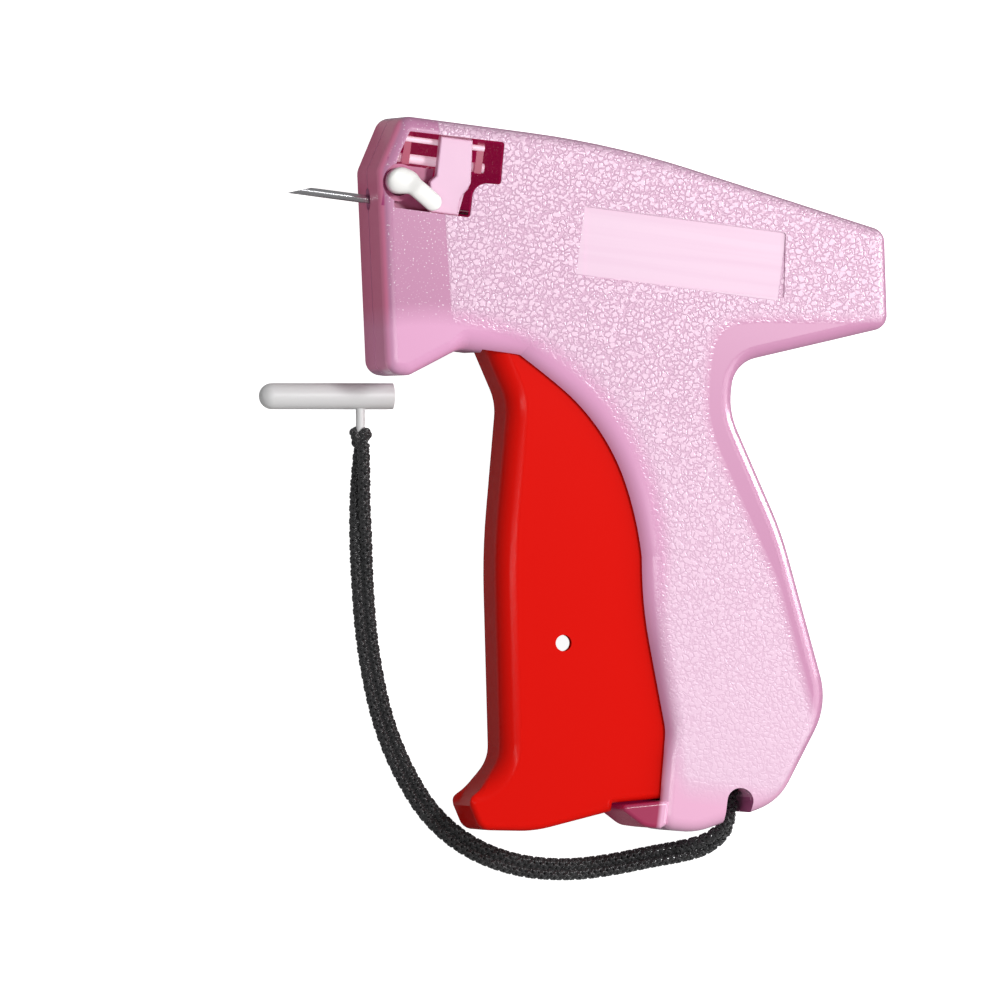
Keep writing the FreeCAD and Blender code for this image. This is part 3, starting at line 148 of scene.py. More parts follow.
def makeHousingPink():
    # Pink ABS, injection moulded. Its sides come from a mould etched with a leather grain, which
    # breaks every highlight into specks, and its edges and bands from a smooth mould.
    tones = {"base": "#CD90B4", "foot": "#EDB2D2", "noseBand": "#C485AA", "speck": "#FBEAF4",
             "noseFrontPaintedLight": "#DC87AA", "grainPaintedSheen": "#E8C3DA", "mouthBandPaintedLight": "#E4A4CB",
             "grainValleyShadeAndStreaks": "#D3A5C2", "panel": "#E1BED4", "recess": "#B04C84",
             "notchShade": "#C878A6", "lipShade": "#922F50", "inside": "#8A1040", "paintedGlow": "#B01650"}
    # the grain's pads are 1.1 mm across, so 880 lie in a metre; the specks are 0.4 mm
    skin = {"pads": 880.0, "wander": 1.1 * mm, "wanderScale": 1.3, "valley": 0.25,
            "depth": 0.10 * mm, "joinScale": 0.9, "joinFrom": 0.58, "joinSlope": 7.0,
            "joinShare": 0.16, "specks": 2400.0, "speckFrom": 0.70, "speckSlope": 9.0,
            "speckShare": 0.8, "streaks": (12.0, 420.0, 1.0), "streakFrom": 0.45,
            "streakSlope": 1.2, "smoothRough": 0.22, "grainRough": 0.36, "panelRough": 0.38,
            "chamberGlow": 0.34, "frontGlow": 0.20}
    # where each finish and each painted tone lies
    field = {"side": 9.4, "sideFrom": 0.72, "sideSlope": 6.0, "topShare": 0.35,
             "nose": ((18.9, -25.8), (11.0, 14.1)), "noseSoft": 0.4, "bandFrom": 0.2,
             "bandSlope": 5.0, "frontFrom": 0.5, "frontSlope": 4.0,
             "underRear": ((109.6, -11.2), (83.0, -14.4)), "rearRound": 12.0,
             "neck": ((73.6, -26.0), (73.9, -36.4)), "neckRound": 6.0,
             "gripHigh": ((77.3, -43.0), (93.9, -69.3)),
             "gripLow": ((93.9, -69.3), (104.6, -94.0)), "backSoft": 2.4,
             "mouthStrip": 5.0, "mouthBack": ((77.0, -105.0), (67.2, -64.0)),
             "mouthBackTop": -61.0, "mouthRound": 4.0, "mouthSoft": 4.0, "bandSoft": 5.0,
             "grainEnd": -114.5, "grainEndSoft": 6.0,
             "shallow": -112.0, "full": -30.0, "shallowShare": 0.28,
             "panelX": (43.4, 87.2), "panelY": (-10.4, 4.2), "panelSoft": 0.1,
             "insideX": (3.0, 34.0), "insideY": (-3.2, 16.0), "insideZ": (-11.8, 12.0),
             "recessX": (0.4, 12.0), "recessY": (-1.4, 9.0), "recessZ": (2.0, 12.1),
             "wallSoft": 0.2, "depthSoft": 0.3, "lipX": 75.4, "lipY": -114.6, "lipSoft": 1.0,
             "foot": -108.0, "footSoft": 10.0, "notchAt": (92.3, -119.0), "notchRadius": 5.2,
             "notchFacing": 0.4}
    material, tree, shader = newMaterial("mouldedAbsPink", {"IOR": 1.53})
    place = addNode(tree, "ShaderNodeTexCoord")
    split = addNode(tree, "ShaderNodeSeparateXYZ", inputs={0: place.outputs["Object"]})
    facing = addNode(tree, "ShaderNodeSeparateXYZ",
                     inputs={0: place.outputs["Normal"]}).outputs
    x, y, z = [addNode(tree, ("ADD", split.outputs[i], gunOrigin[i])).outputs[0]
               for i in range(3)]
    flatness = ("ADD", ("ABSOLUTE", facing[2]),
                ("MULTIPLY", ("MAXIMUM", facing[1], 0.0), field["topShare"]))
    onSide = addNode(tree, product(
        ramp(flatness, field["sideFrom"], field["sideSlope"]),
        ("GREATER_THAN", ("ABSOLUTE", z), field["side"] * mm))).outputs[0]

    # how far a place is inside the grained field: behind the nose band, in front of the bare
    # strip along the back, and off the rolled edge of the mouth
    behindNose = beyondLine(x, y, field["nose"])
    offBack = ("SMOOTH_MAX", beyondLine(x, y, field["underRear"]),
               beyondLine(x, y, field["neck"]), field["rearRound"] * mm)
    offGrip = ("MINIMUM", beyondLine(x, y, field["gripHigh"]),
               beyondLine(x, y, field["gripLow"]))
    offBack = ("SMOOTH_MAX", offBack, offGrip, field["neckRound"] * mm)
    offArc = beyondCircle(x, y, mouthArc["centre"], mouthArc["radius"] + field["mouthStrip"])
    mouthBack = ("MAXIMUM", beyondLine(x, y, field["mouthBack"]),
                 ("SUBTRACT", y, field["mouthBackTop"] * mm))
    offMouth = ("SMOOTH_MIN", offArc, mouthBack, field["mouthRound"] * mm)
    inPanel = addNode(tree, product(
        within(x, *field["panelX"], field["panelSoft"]),
        within(y, *field["panelY"], field["panelSoft"]), onSide)).outputs[0]
    grain = addNode(tree, product(
        onSide, fade(behindNose, field["noseSoft"]), fade(offBack, field["backSoft"]),
        fade(offMouth, field["mouthSoft"]),
        fade(("SUBTRACT", y, field["grainEnd"] * mm), field["grainEndSoft"]),
        inverse(inPanel))).outputs[0]
    upGrip = addNode(tree, "ShaderNodeMapRange", inputs={
        "Value": y, "From Min": field["shallow"] * mm, "From Max": field["full"] * mm,
        "To Min": field["shallowShare"]})
    depth = addNode(tree, product(grain, upGrip.outputs[0])).outputs[0]

    # the grain: pads of uneven shape with narrow valleys, some of them grown together
    wander = addNode(tree, "ShaderNodeTexNoise", inputs={
        "Vector": place.outputs["Object"], "Scale": skin["pads"] * skin["wanderScale"],
        "Detail": 1.0})
    moved = addNode(tree, "ShaderNodeVectorMath", {"operation": "MULTIPLY_ADD"}, {
        0: wander.outputs["Color"], 1: (skin["wander"],) * 3, 2: place.outputs["Object"]})
    pads = addNode(tree, "ShaderNodeTexVoronoi", {"feature": "DISTANCE_TO_EDGE"}, {
        "Vector": moved.outputs[0], "Scale": skin["pads"]})
    grown = addNode(tree, "ShaderNodeTexNoise", inputs={
        "Vector": place.outputs["Object"], "Scale": skin["pads"] * skin["joinScale"],
        "Detail": 0.0})
    joined = ramp(grown.outputs[0], skin["joinFrom"], skin["joinSlope"])
    ridges = addNode(tree, "ShaderNodeMapRange", {"interpolation_type": "SMOOTHSTEP"}, {
        "Value": ("ADD", pads.outputs["Distance"], ("MULTIPLY", joined, skin["joinShare"])),
        "From Max": skin["valley"]}).outputs[0]
    bump = addNode(tree, "ShaderNodeBump", inputs={
        "Height": product(ridges, depth), "Distance": skin["depth"], "Strength": 1.0})
    rough = addNode(tree, ("MAXIMUM", skin["smoothRough"], (
        "MAXIMUM", ("MULTIPLY", grain, skin["grainRough"]),
        ("MULTIPLY", inPanel, skin["panelRough"]))))
    tree.links.new(bump.outputs[0], shader.inputs["Normal"])
    tree.links.new(rough.outputs[0], shader.inputs["Roughness"])

    # colour: each place's tone over the last. Only the base, the nose band's specks, the panel and
    # its streaks are the plastic's own colour; the other tones are painted light or shade.
    specks = addNode(tree, "ShaderNodeTexNoise", inputs={
        "Vector": place.outputs["Object"], "Scale": skin["specks"], "Detail": 0.0})
    dusty = ramp(specks.outputs[0], skin["speckFrom"], skin["speckSlope"])
    streakPlace = addNode(tree, "ShaderNodeVectorMath", {"operation": "MULTIPLY"}, {
        0: place.outputs["Object"], 1: skin["streaks"]})
    streaks = addNode(tree, "ShaderNodeTexNoise", inputs={
        "Vector": streakPlace.outputs[0], "Scale": 1.0, "Detail": 2.0})
    streaked = ramp(streaks.outputs[0], skin["streakFrom"], skin["streakSlope"])
    inside, recess = [addNode(tree, product(
        within(x, *field[name + "X"], field["wallSoft"]),
        within(y, *field[name + "Y"], field["wallSoft"]),
        within(z, *field[name + "Z"], field["depthSoft"]))).outputs[0]
        for name in ("inside", "recess")]
    lipShade = addNode(tree, product(
        fade(("SUBTRACT", field["lipX"] * mm, x), field["lipSoft"]),
        fade(("SUBTRACT", field["lipY"] * mm, y), field["lipSoft"]))).outputs[0]
    foot = fade(("SUBTRACT", field["foot"] * mm, y), field["footSoft"])
    notchShade = product(
        ("LESS_THAN", beyondCircle(x, y, field["notchAt"], field["notchRadius"]), 0.0),
        ("LESS_THAN", ("ABSOLUTE", facing[2]), field["notchFacing"]))
    noseBand = addNode(tree, inverse(fade(behindNose, field["noseSoft"]))).outputs[0]
    noseFrontPaintedLight = addNode(tree, product(
        noseBand, ramp(("MULTIPLY", facing[0], -1.0), field["frontFrom"],
                       field["frontSlope"]))).outputs[0]
    bandSide = ramp(("ABSOLUTE", facing[2]), field["bandFrom"], field["bandSlope"])
    toned = toLinear(tones["base"])
    for mask, tone in (
            # painted light: paler towards the foot, lifting the shade on its rounded underside
            (foot, "foot"),
            # painted shade: the nose band's sides darker, as the light falls off towards the nose
            (product(noseBand, bandSide), "noseBand"),
            (product(noseBand, onSide, dusty, skin["speckShare"]), "speck"),
            # painted light: a saturated plum on the nose's front, for the tinted light in its
            # shade
            (noseFrontPaintedLight, "noseFrontPaintedLight"),
            # painted sheen: the grained field paler, for the whitish haze that its grain scatters
            (grain, "grainPaintedSheen"),
            # painted light: a pinker band along the mouth's rolled edge, lifting the shade it
            # turns into
            (inverse(fade(offArc, field["bandSoft"])), "mouthBandPaintedLight"),
            # painted shade in the grain's valleys; the same tone draws the panel's streaks
            (product(inverse(ridges), depth), "grainValleyShadeAndStreaks"),
            (inPanel, "panel"),
            (product(inPanel, streaked), "grainValleyShadeAndStreaks"),
            # painted shade in the lever's recess
            (recess, "recess"),
            # painted shade on the strap notch's walls
            (notchShade, "notchShade"),
            # painted shade and red reflection on the foot's lip
            (lipShade, "lipShade"),
            # painted shade: the window's chamber in deep crimson
            (inside, "inside")):
        toned = addNode(tree, "ShaderNodeMix", {"data_type": "RGBA"}, {
            "Factor": mask, "A": toned, "B": toLinear(tones[tone])}).outputs["Result"]
    tree.links.new(toned, shader.inputs["Base Color"])
    # painted glow: an emission lifts the chamber, the nose's front and the lip out of their shade
    paintedGlow = addNode(tree, ("MAXIMUM", ("MULTIPLY", inside, skin["chamberGlow"]), (
        "MULTIPLY", ("MAXIMUM", noseFrontPaintedLight, lipShade), skin["frontGlow"])))
    shader.inputs["Emission Color"].default_value = toLinear(tones["paintedGlow"])
    tree.links.new(paintedGlow.outputs[0], shader.inputs["Emission Strength"])
    return material


def makeTriggerRed():
    # Red ABS from a polished mould: a deep gloss with only a faint unevenness.
    trigger = {"colour": "#DC130B", "roughness": 0.17, "gloss": 0.06, "waves": 90.0,
               "waveDepth": 0.03 * mm, "waveShare": 0.6}
    material, tree, shader = newMaterial("polishedAbsRed", {
        "Base Color": toLinear(trigger["colour"]), "Roughness": trigger["roughness"],
        "IOR": 1.53, "Specular IOR Level": trigger["gloss"]})
    place = addNode(tree, "ShaderNodeTexCoord")
    waves = addNode(tree, "ShaderNodeTexNoise", inputs={
        "Vector": place.outputs["Object"], "Scale": trigger["waves"], "Detail": 1.0})
    bump = addNode(tree, "ShaderNodeBump", inputs={
        "Height": waves.outputs[0], "Distance": trigger["waveDepth"],
        "Strength": trigger["waveShare"]})
    tree.links.new(bump.outputs[0], shader.inputs["Normal"])
    return material


def makePlain(name, colour, roughness, metallic=0.0, grain=0.0, grainScale=400.0, **more):
    # one tone with a faint unevenness; more holds other inputs of the shader
    inputs = {"Base Color": toLinear(colour), "Roughness": roughness, "Metallic": metallic}
    inputs.update({key.replace("_", " "): value for key, value in more.items()})
    material, tree, shader = newMaterial(name, inputs)
    place = addNode(tree, "ShaderNodeTexCoord")
    uneven = addNode(tree, "ShaderNodeTexNoise", inputs={
        "Vector": place.outputs["Object"], "Scale": grainScale, "Detail": 3.0})
    bump = addNode(tree, "ShaderNodeBump", inputs={
        "Height": uneven.outputs[0], "Distance": grain, "Strength": 1.0})
    tree.links.new(bump.outputs[0], shader.inputs["Normal"])
    return material


housingPink = makeHousingPink()
triggerRed = makeTriggerRed()
# Nylon, moulded and tumbled: nearly white, waxy, with soft highlights.
nylonWhite = makePlain("tumbledNylonWhite", "#F7F6F3", 0.38, grain=0.01 * mm)
# The same nylon in thin rods, with a painted glow that lifts them out of the window's shade.
rodWhite = makePlain("thinNylonWhitePaintedGlow", "#F3DCE8", 0.42, grain=0.01 * mm,
                     Emission_Color=toLinear("#F3C8DC"), Emission_Strength=0.34)
# Pink ABS inside the window, in a smooth finish: pale on the guide, and on the seat a deep tone
# that paints the window's shade.
guidePink = makePlain("smoothAbsPalePink", "#E3B7D2", 0.34, grain=0.01 * mm)
seatShadedPink = makePlain("smoothAbsPinkPaintedShade", "#C25C8C", 0.36, grain=0.01 * mm)
# Stainless steel tube, drawn and polished.
needleSteel = makePlain("polishedStainlessSteel", "#C9C9CC", 0.2, 1.0, grain=0.004 * mm,
                        grainScale=900.0)
# Zinc-plated screws and ground steel pins.
pinSteel = makePlain("zincPlatedSteel", "#B9BBBE", 0.34, 1.0, grain=0.006 * mm)
# Low-density polyethylene, moulded: milky and faintly see-through.
capMilky = makePlain("milkyPolyethylene", "#F2F2F2", 0.36, grain=0.008 * mm,
                     Transmission_Weight=0.2)
# Spun nylon braid, dyed black: each yarn catches a small highlight.
yarnBlack = makePlain("braidedNylonBlack", "#222224", 0.30, grain=0.02 * mm, grainScale=3000.0,
                      Sheen_Weight=0.3)

nodeMaterials = {
    "left_housing": housingPink, "right_housing": housingPink, "needle_seat": seatShadedPink,
    "fastener_guide": guidePink, "trigger": triggerRed, "needle_lock_lever": nylonWhite,
    "drive_lever": nylonWhite, "slide": nylonWhite, "rod_guide": nylonWhite,
    "feed_wheel": rodWhite, "feed_pawl": pinSteel, "needle": needleSteel,
    "needle_hub": pinSteel, "knife_blade": pinSteel, "feed_axle": rodWhite,
    "pawl_rod": rodWhite, "return_spring": pinSteel, "housing_screws": pinSteel,
    "trigger_pivot_pin": pinSteel, "drive_lever_pin": pinSteel, "strap_anchor_pin": pinSteel,
    "trigger_drive_pin": pinSteel, "slide_drive_pin": pinSteel, "push_rod": needleSteel,
    "needle_cap": capMilky, "tether_knot": yarnBlack, "tether_strand_outer": yarnBlack,
    "tether_strand_inner": yarnBlack,
}
for name, material in nodeMaterials.items():
    slots = nodes[name].data.materials
    slots.clear()
    slots.append(material)
print("materials on", len(nodeMaterials), "nodes")


# Moulded pieces that the scene shapes more finely than the frame's solids

def pieceFrom(name, build, material, body, sharpAngle=40.0):
    # build fills a bmesh in gun millimetres; the piece is moved into the frame and smoothed
    work = bmesh.new()
    build(work)
    bmesh.ops.recalc_face_normals(work, faces=work.faces)
    for vertex in work.verts:
        vertex.co = toRow(*(vertex.co * mm))
    for face in work.faces:
        face.smooth = True
    mesh = bpy.data.meshes.new(name)
    work.to_mesh(mesh)
    work.free()
    mesh.set_sharp_from_angle(angle=math.radians(sharpAngle))
    mesh.materials.append(material)
    piece = bpy.data.objects.new(name, mesh)
    bpy.context.scene.collection.objects.link(piece)
    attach(piece, body)
    return piece


def loft(work, rings):
    # joins closed rings of equal count and caps both ends
    made = [[work.verts.new(place) for place in ring] for ring in rings]
    count = len(rings[0])
    for low, high in zip(made, made[1:]):
        for i in range(count):
            j = (i + 1) % count
            work.faces.new((low[i], low[j], high[j], high[i]))
    work.faces.new(made[0])
    work.faces.new(list(reversed(made[-1])))


# The mouth's rolled edge, fuller at its upper corner than the shells' solids.
mouthRoll = {"start": 72.0, "end": 2.5, "stations": 72, "band": 8.6, "roundRadius": 4.5,
             "face": 12.5, "under": 10.3, "proud": 0.02, "arcSteps": 8,
             "meetFirst": 1.1, "firstShare": 0.20, "meetLast": 1.5, "lastShare": 0.34,
             "sink": 0.25, "sinkFirst": 0.08, "sinkLast": 0.10}


def mouthSection(side, angle, sink, meet):
    # the roll's section at one station: out over the rounding, across the face and back under
    centre = Vector(mouthArc["centre"])
    away = Vector((math.cos(angle), math.sin(angle)))
    face = mouthRoll["face"] - sink
    low = math.asin((mouthRoll["under"] - face + mouthRoll["roundRadius"])
                    / mouthRoll["roundRadius"])
    profile = []
    for step in range(mouthRoll["arcSteps"] + 1):
        turn = low + (math.pi / 2 - low) * step / mouthRoll["arcSteps"]
        profile.append((mouthRoll["roundRadius"] * (math.cos(low) - math.cos(turn)),
                        face + mouthRoll["roundRadius"] * (math.sin(turn) - 1.0)))
    profile.append((mouthRoll["band"], face))
    profile.append((mouthRoll["band"], mouthRoll["under"]))
    places = []
    for reach, level in profile:
        flat = centre + away * (mouthArc["radius"] + meet + reach)
        places.append(Vector((flat.x, flat.y, side * level)))
    return places


def buildMouthRoll(side, proud):
    def build(work):
        rings = []
        for i in range(mouthRoll["stations"] + 1):
            share = i / mouthRoll["stations"]
            degrees = mouthRoll["start"] + (mouthRoll["end"] - mouthRoll["start"]) * share
            nearEnd = max(0.0, 1.0 - share / mouthRoll["sinkFirst"],
                          1.0 - (1.0 - share) / mouthRoll["sinkLast"])
            first = max(0.0, 1.0 - share / mouthRoll["firstShare"])
            last = max(0.0, 1.0 - (1.0 - share) / mouthRoll["lastShare"])
            meet = mouthRoll["meetFirst"] * first ** 2 + mouthRoll["meetLast"] * last ** 2
            rings.append(mouthSection(side, math.radians(degrees),
                                      mouthRoll["sink"] * nearEnd ** 2 - proud, meet))
        loft(work, rings)
    return build


# the right one stays just inside its shell's face, which lies on the floor
for side, label, proud in ((1, "left", mouthRoll["proud"]), (-1, "right", -mouthRoll["proud"])):
    pieceFrom("mouth_roll_" + label, buildMouthRoll(side, proud), housingPink, "housing")

# The needle lock lever: a domed head and a round-ended arm in one smooth moulding.
lockLever = {"at": (4.1, 4.1), "turn": -33.0, "headRadius": 3.1, "armHalf": 1.95,
             "lean": 0.95, "armReach": 9.5, "foot": 8.55, "armUnder": 11.5, "headTop": 13.0,
             "armTop": 13.7, "stations": 44, "around": 28, "squareness": 2.7, "blend": 6,
             "endGap": 0.002, "leastHalf": 0.12, "riseFrom": 1.2, "riseOver": 2.6,
             "leanFrom": -1.0, "leanOver": 4.0, "endTall": 0.55}


def lockWidth(along):
    # half the lever's width at a distance along it from the head's middle
    head = math.sqrt(max(0.0, lockLever["headRadius"] ** 2 - along ** 2))
    if along <= 0:
        return head
    past = max(0.0, along - (lockLever["armReach"] - lockLever["armHalf"]))
    arm = math.sqrt(max(0.0, lockLever["armHalf"] ** 2 - past ** 2))
    return (head ** lockLever["blend"] + arm ** lockLever["blend"]) ** (1 / lockLever["blend"])


def eased(value, start, over):
    share = min(max((value - start) / over, 0.0), 1.0)
    return share * share * (3 - 2 * share)


def buildLockLever(work):
    way = Vector((math.cos(math.radians(lockLever["turn"])),
                  math.sin(math.radians(lockLever["turn"]))))
    across = Vector((-way.y, way.x))
    first = -lockLever["headRadius"]
    reach = lockLever["armReach"] - first
    rings = []
    for i in range(lockLever["stations"] + 1):
        share = (1 - math.cos(math.pi * i / lockLever["stations"])) / 2
        along = first + reach * min(max(share, lockLever["endGap"]), 1 - lockLever["endGap"])
        half = max(lockWidth(along), lockLever["leastHalf"])
        onArm = eased(along, lockLever["riseFrom"], lockLever["riseOver"])
        lean = lockLever["lean"] * eased(along, lockLever["leanFrom"], lockLever["leanOver"])
        crown = min(half / lockLever["armHalf"], 1.0)
        top = lockLever["headTop"] + (lockLever["armTop"] - lockLever["headTop"]) * onArm
        under = lockLever["foot"] + (lockLever["armUnder"] - lockLever["foot"]) * onArm
        middle = (top + under) / 2
        tall = (top - under) / 2 * (lockLever["endTall"] + (1 - lockLever["endTall"]) * crown)
        ring = []
        for j in range(lockLever["around"]):
            turn = 2 * math.pi * j / lockLever["around"]
            power = 2 / lockLever["squareness"]
            sideways = half * math.copysign(abs(math.cos(turn)) ** power, math.cos(turn))
            upwards = tall * math.copysign(abs(math.sin(turn)) ** power, math.sin(turn))
            flat = Vector(lockLever["at"]) + way * along + across * (sideways + lean)
            ring.append(Vector((flat.x, flat.y, middle + upwards)))
        rings.append(ring)
    loft(work, rings)


leverPiece = pieceFrom("needle_lock_lever_dome", buildLockLever, nylonWhite, "needle_lock",
                       60.0)
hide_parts("needle_lock_lever")

# The fastener guide: a bevelled face plate with tabs that tuck in behind the left shell.
guide = {"tabLow": 8.85, "tabHigh": 10.2, "faceHigh": 11.1, "bevel": 0.35,
         "tab": [(11.5, 15.4), (18.2, 15.4), (18.2, 5.0), (17.0, -3.0), (11.0, -3.0), (11.5, 5.0)],
         "face": [(11.4, 14.7), (18.3, 14.7), (19.0, 5.8), (18.6, 4.4), (17.5, 2.9), (17.0, 1.0),
                  (17.1, -1.4), (10.9, -1.4), (10.3, 4.9), (10.8, 5.5), (11.5, 6.3)]}


def buildGuide(work):
    for outline, low, high in ((guide["tab"], guide["tabLow"], guide["tabHigh"]),
                               (guide["face"], guide["tabLow"], guide["faceHigh"])):
        base = [work.verts.new((x, y, low)) for x, y in outline]
        under = work.faces.new(base)
        made = bmesh.ops.extrude_face_region(work, geom=[under])["geom"]
        raised = [item for item in made if isinstance(item, bmesh.types.BMVert)]
        bmesh.ops.translate(work, vec=(0.0, 0.0, high - low), verts=raised)
    rim = [edge for edge in work.edges
           if all(abs(vertex.co.z - guide["faceHigh"]) < 1e-4 for vertex in edge.verts)]
    bmesh.ops.bevel(work, geom=rim, offset=guide["bevel"], segments=3, profile=0.5,
                    affect="EDGES")


guidePiece = pieceFrom("fastener_guide_plate", buildGuide, guidePink, "housing",
                       10.0)
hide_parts("fastener_guide")
print("moulded pieces made")


# Cords: one braided cord doubled, its two strands side by side

cords = {
    "yarnsEachWay": 4, "yarnSides": 6, "lay": 5.4 * mm, "yarnRadius": 0.36 * mm,
    "windingRadius": 0.92 * mm, "weave": 0.17 * mm, "step": 0.17 * mm, "apart": 0.001,
    "diameter": 2.6 * mm,
    "outer": [
        (6.9, -50.9, -11.1), (7.0, -57.2, -11.17), (7.5, -64.0, -11.17), (8.6, -72.4, -11.17),
        (10.1, -80.8, -11.17), (12.0, -90.2, -11.17), (14.8, -99.9, -11.17),
        (18.5, -109.6, -11.17), (24.0, -119.0, -11.17), (31.0, -127.5, -11.17),
        (40.4, -133.3, -11.17), (51.2, -135.8, -11.17), (62.1, -135.4, -11.17),
        (72.0, -133.0, -11.17), (80.2, -130.2, -11.05), (86.1, -128.4, -9.8),
        (90.9, -126.3, -7.5), (94.0, -122.3, -4.9), (93.8, -118.0, -2.8), (92.8, -114.1, -1.7),
        (92.3, -109.15, -1.45)],
    "inner": [
        (7.0, -50.9, -8.48), (8.0, -57.0, -8.7), (8.85, -63.02, -9.3), (10.36, -70.18, -10.1),
        (11.65, -77.84, -10.95), (14.06, -89.96, -11.17), (16.86, -99.56, -11.17),
        (20.53, -109.02, -11.17), (25.96, -118.16, -11.17), (32.61, -126.09, -11.17),
        (41.5, -131.45, -11.17), (51.56, -133.74, -11.17), (61.94, -133.34, -11.17),
        (71.48, -131.02, -11.17), (79.6, -128.24, -11.0), (85.48, -126.43, -9.4),
        (89.31, -124.76, -6.4), (91.6, -122.6, -2.8), (93.2, -119.3, 0.1), (92.8, -114.5, 1.25),
        (92.3, -109.2, 1.45)],
}


def routeCurve(name, points):
    data = bpy.data.curves.new(name, "CURVE")
    data.dimensions = "3D"
    data.resolution_u = 12
    spline = data.splines.new("NURBS")
    spline.points.add(len(points) - 1)
    for point, place in zip(spline.points, points):
        point.co = (*toRow(*[value * mm for value in place]), 1.0)
    spline.order_u = 3
    spline.use_endpoint_u = True
    curve = bpy.data.objects.new(name, data)
    bpy.context.scene.collection.objects.link(curve)
    return curve


def pathOf(curve):
    # the points that the route's own spline gives
    mesh = bpy.data.meshes.new_from_object(curve)
    points = [vertex.co.copy() for vertex in mesh.vertices]
    bpy.data.meshes.remove(mesh)
    return points


def lengthOf(points):
    return sum((b - a).length for a, b in zip(points, points[1:]))


def braidTree():
    # yarns wound both ways round a path, each passing over and under the ones it meets
    tree = bpy.data.node_groups.new("braidOnPath", "GeometryNodeTree")
    face = tree.interface
    face.new_socket("Geometry", in_out="INPUT", socket_type="NodeSocketGeometry")
    face.new_socket("Geometry", in_out="OUTPUT", socket_type="NodeSocketGeometry")
    for name in ("Lay", "Winding Radius", "Yarn Radius", "Weave", "Step"):
        face.new_socket(name, in_out="INPUT", socket_type="NodeSocketFloat")
    face.new_socket("Material", in_out="INPUT", socket_type="NodeSocketMaterial")
    given = addNode(tree, "NodeGroupInput").outputs
    path = addNode(tree, "GeometryNodeMeshToCurve", inputs={"Mesh": given["Geometry"]})
    even = addNode(tree, "GeometryNodeResampleCurve", {"mode": "LENGTH"}, {
        "Curve": path.outputs[0], "Length": given["Step"]})
    along = addNode(tree, "GeometryNodeSplineParameter").outputs["Length"]
    tangent = addNode(tree, "GeometryNodeInputTangent").outputs[0]
    normal = addNode(tree, "GeometryNodeInputNormal").outputs[0]
    across = addNode(tree, "ShaderNodeVectorMath", {"operation": "CROSS_PRODUCT"}, {
        0: tangent, 1: normal}).outputs[0]
    turns = addNode(tree, ("MULTIPLY", ("DIVIDE", along, given["Lay"]), 2 * math.pi)).outputs[0]
    weaveTurns = ("MULTIPLY", turns, float(cords["yarnsEachWay"]))
    join = addNode(tree, "GeometryNodeJoinGeometry")
    profile = addNode(tree, "GeometryNodeCurvePrimitiveCircle", inputs={
        "Resolution": cords["yarnSides"], "Radius": given["Yarn Radius"]})
    for way in (1, -1):
        for i in range(cords["yarnsEachWay"]):
            start = 2 * math.pi * i / cords["yarnsEachWay"] + (0.0 if way > 0 else cords["apart"])
            angle = addNode(tree, ("ADD", ("MULTIPLY", turns, float(way)), start)).outputs[0]
            lift = ("SINE", ("ADD", weaveTurns, math.pi * i + (0.0 if way > 0 else math.pi)))
            radius = addNode(tree, ("ADD", given["Winding Radius"],
                                    ("MULTIPLY", lift, given["Weave"]))).outputs[0]
            legs = [addNode(tree, "ShaderNodeVectorMath", {"operation": "SCALE"}, {
                0: direction, "Scale": ("MULTIPLY", (operation, angle), radius)}).outputs[0]
                for operation, direction in (("COSINE", normal), ("SINE", across))]
            offset = addNode(tree, "ShaderNodeVectorMath", {"operation": "ADD"}, {
                0: legs[0], 1: legs[1]})
            yarn = addNode(tree, "GeometryNodeSetPosition", inputs={
                "Geometry": even.outputs[0], "Offset": offset.outputs[0]})
            tube = addNode(tree, "GeometryNodeCurveToMesh", inputs={
                "Curve": yarn.outputs[0], "Profile Curve": profile.outputs[0],
                "Fill Caps": True})
            tree.links.new(tube.outputs[0], join.inputs[0])
    real = addNode(tree, "GeometryNodeRealizeInstances", inputs={0: join.outputs[0]})
    smooth = addNode(tree, "GeometryNodeSetShadeSmooth", inputs={0: real.outputs[0]})
    dressed = addNode(tree, "GeometryNodeSetMaterial", inputs={
        "Geometry": smooth.outputs[0], "Material": given["Material"]})
    addNode(tree, "NodeGroupOutput", inputs={0: dressed.outputs[0]})
    return tree


def meshFromModifier(name, start, tree, values):
    # runs a tree on a mesh and keeps its result as a plain mesh
    carrier = bpy.data.objects.new(name + "Carrier", start)
    bpy.context.scene.collection.objects.link(carrier)
    modifier = carrier.modifiers.new(name, "NODES")
    modifier.node_group = tree
    for item in tree.interface.items_tree:
        if item.name in values:
            modifier[item.identifier] = values[item.name]
    graph = bpy.context.evaluated_depsgraph_get()
    mesh = bpy.data.meshes.new_from_object(carrier.evaluated_get(graph))
    mesh.name = name
    bpy.data.objects.remove(carrier)
    piece = bpy.data.objects.new(name, mesh)
    bpy.context.scene.collection.objects.link(piece)
    return piece


braid = braidTree()
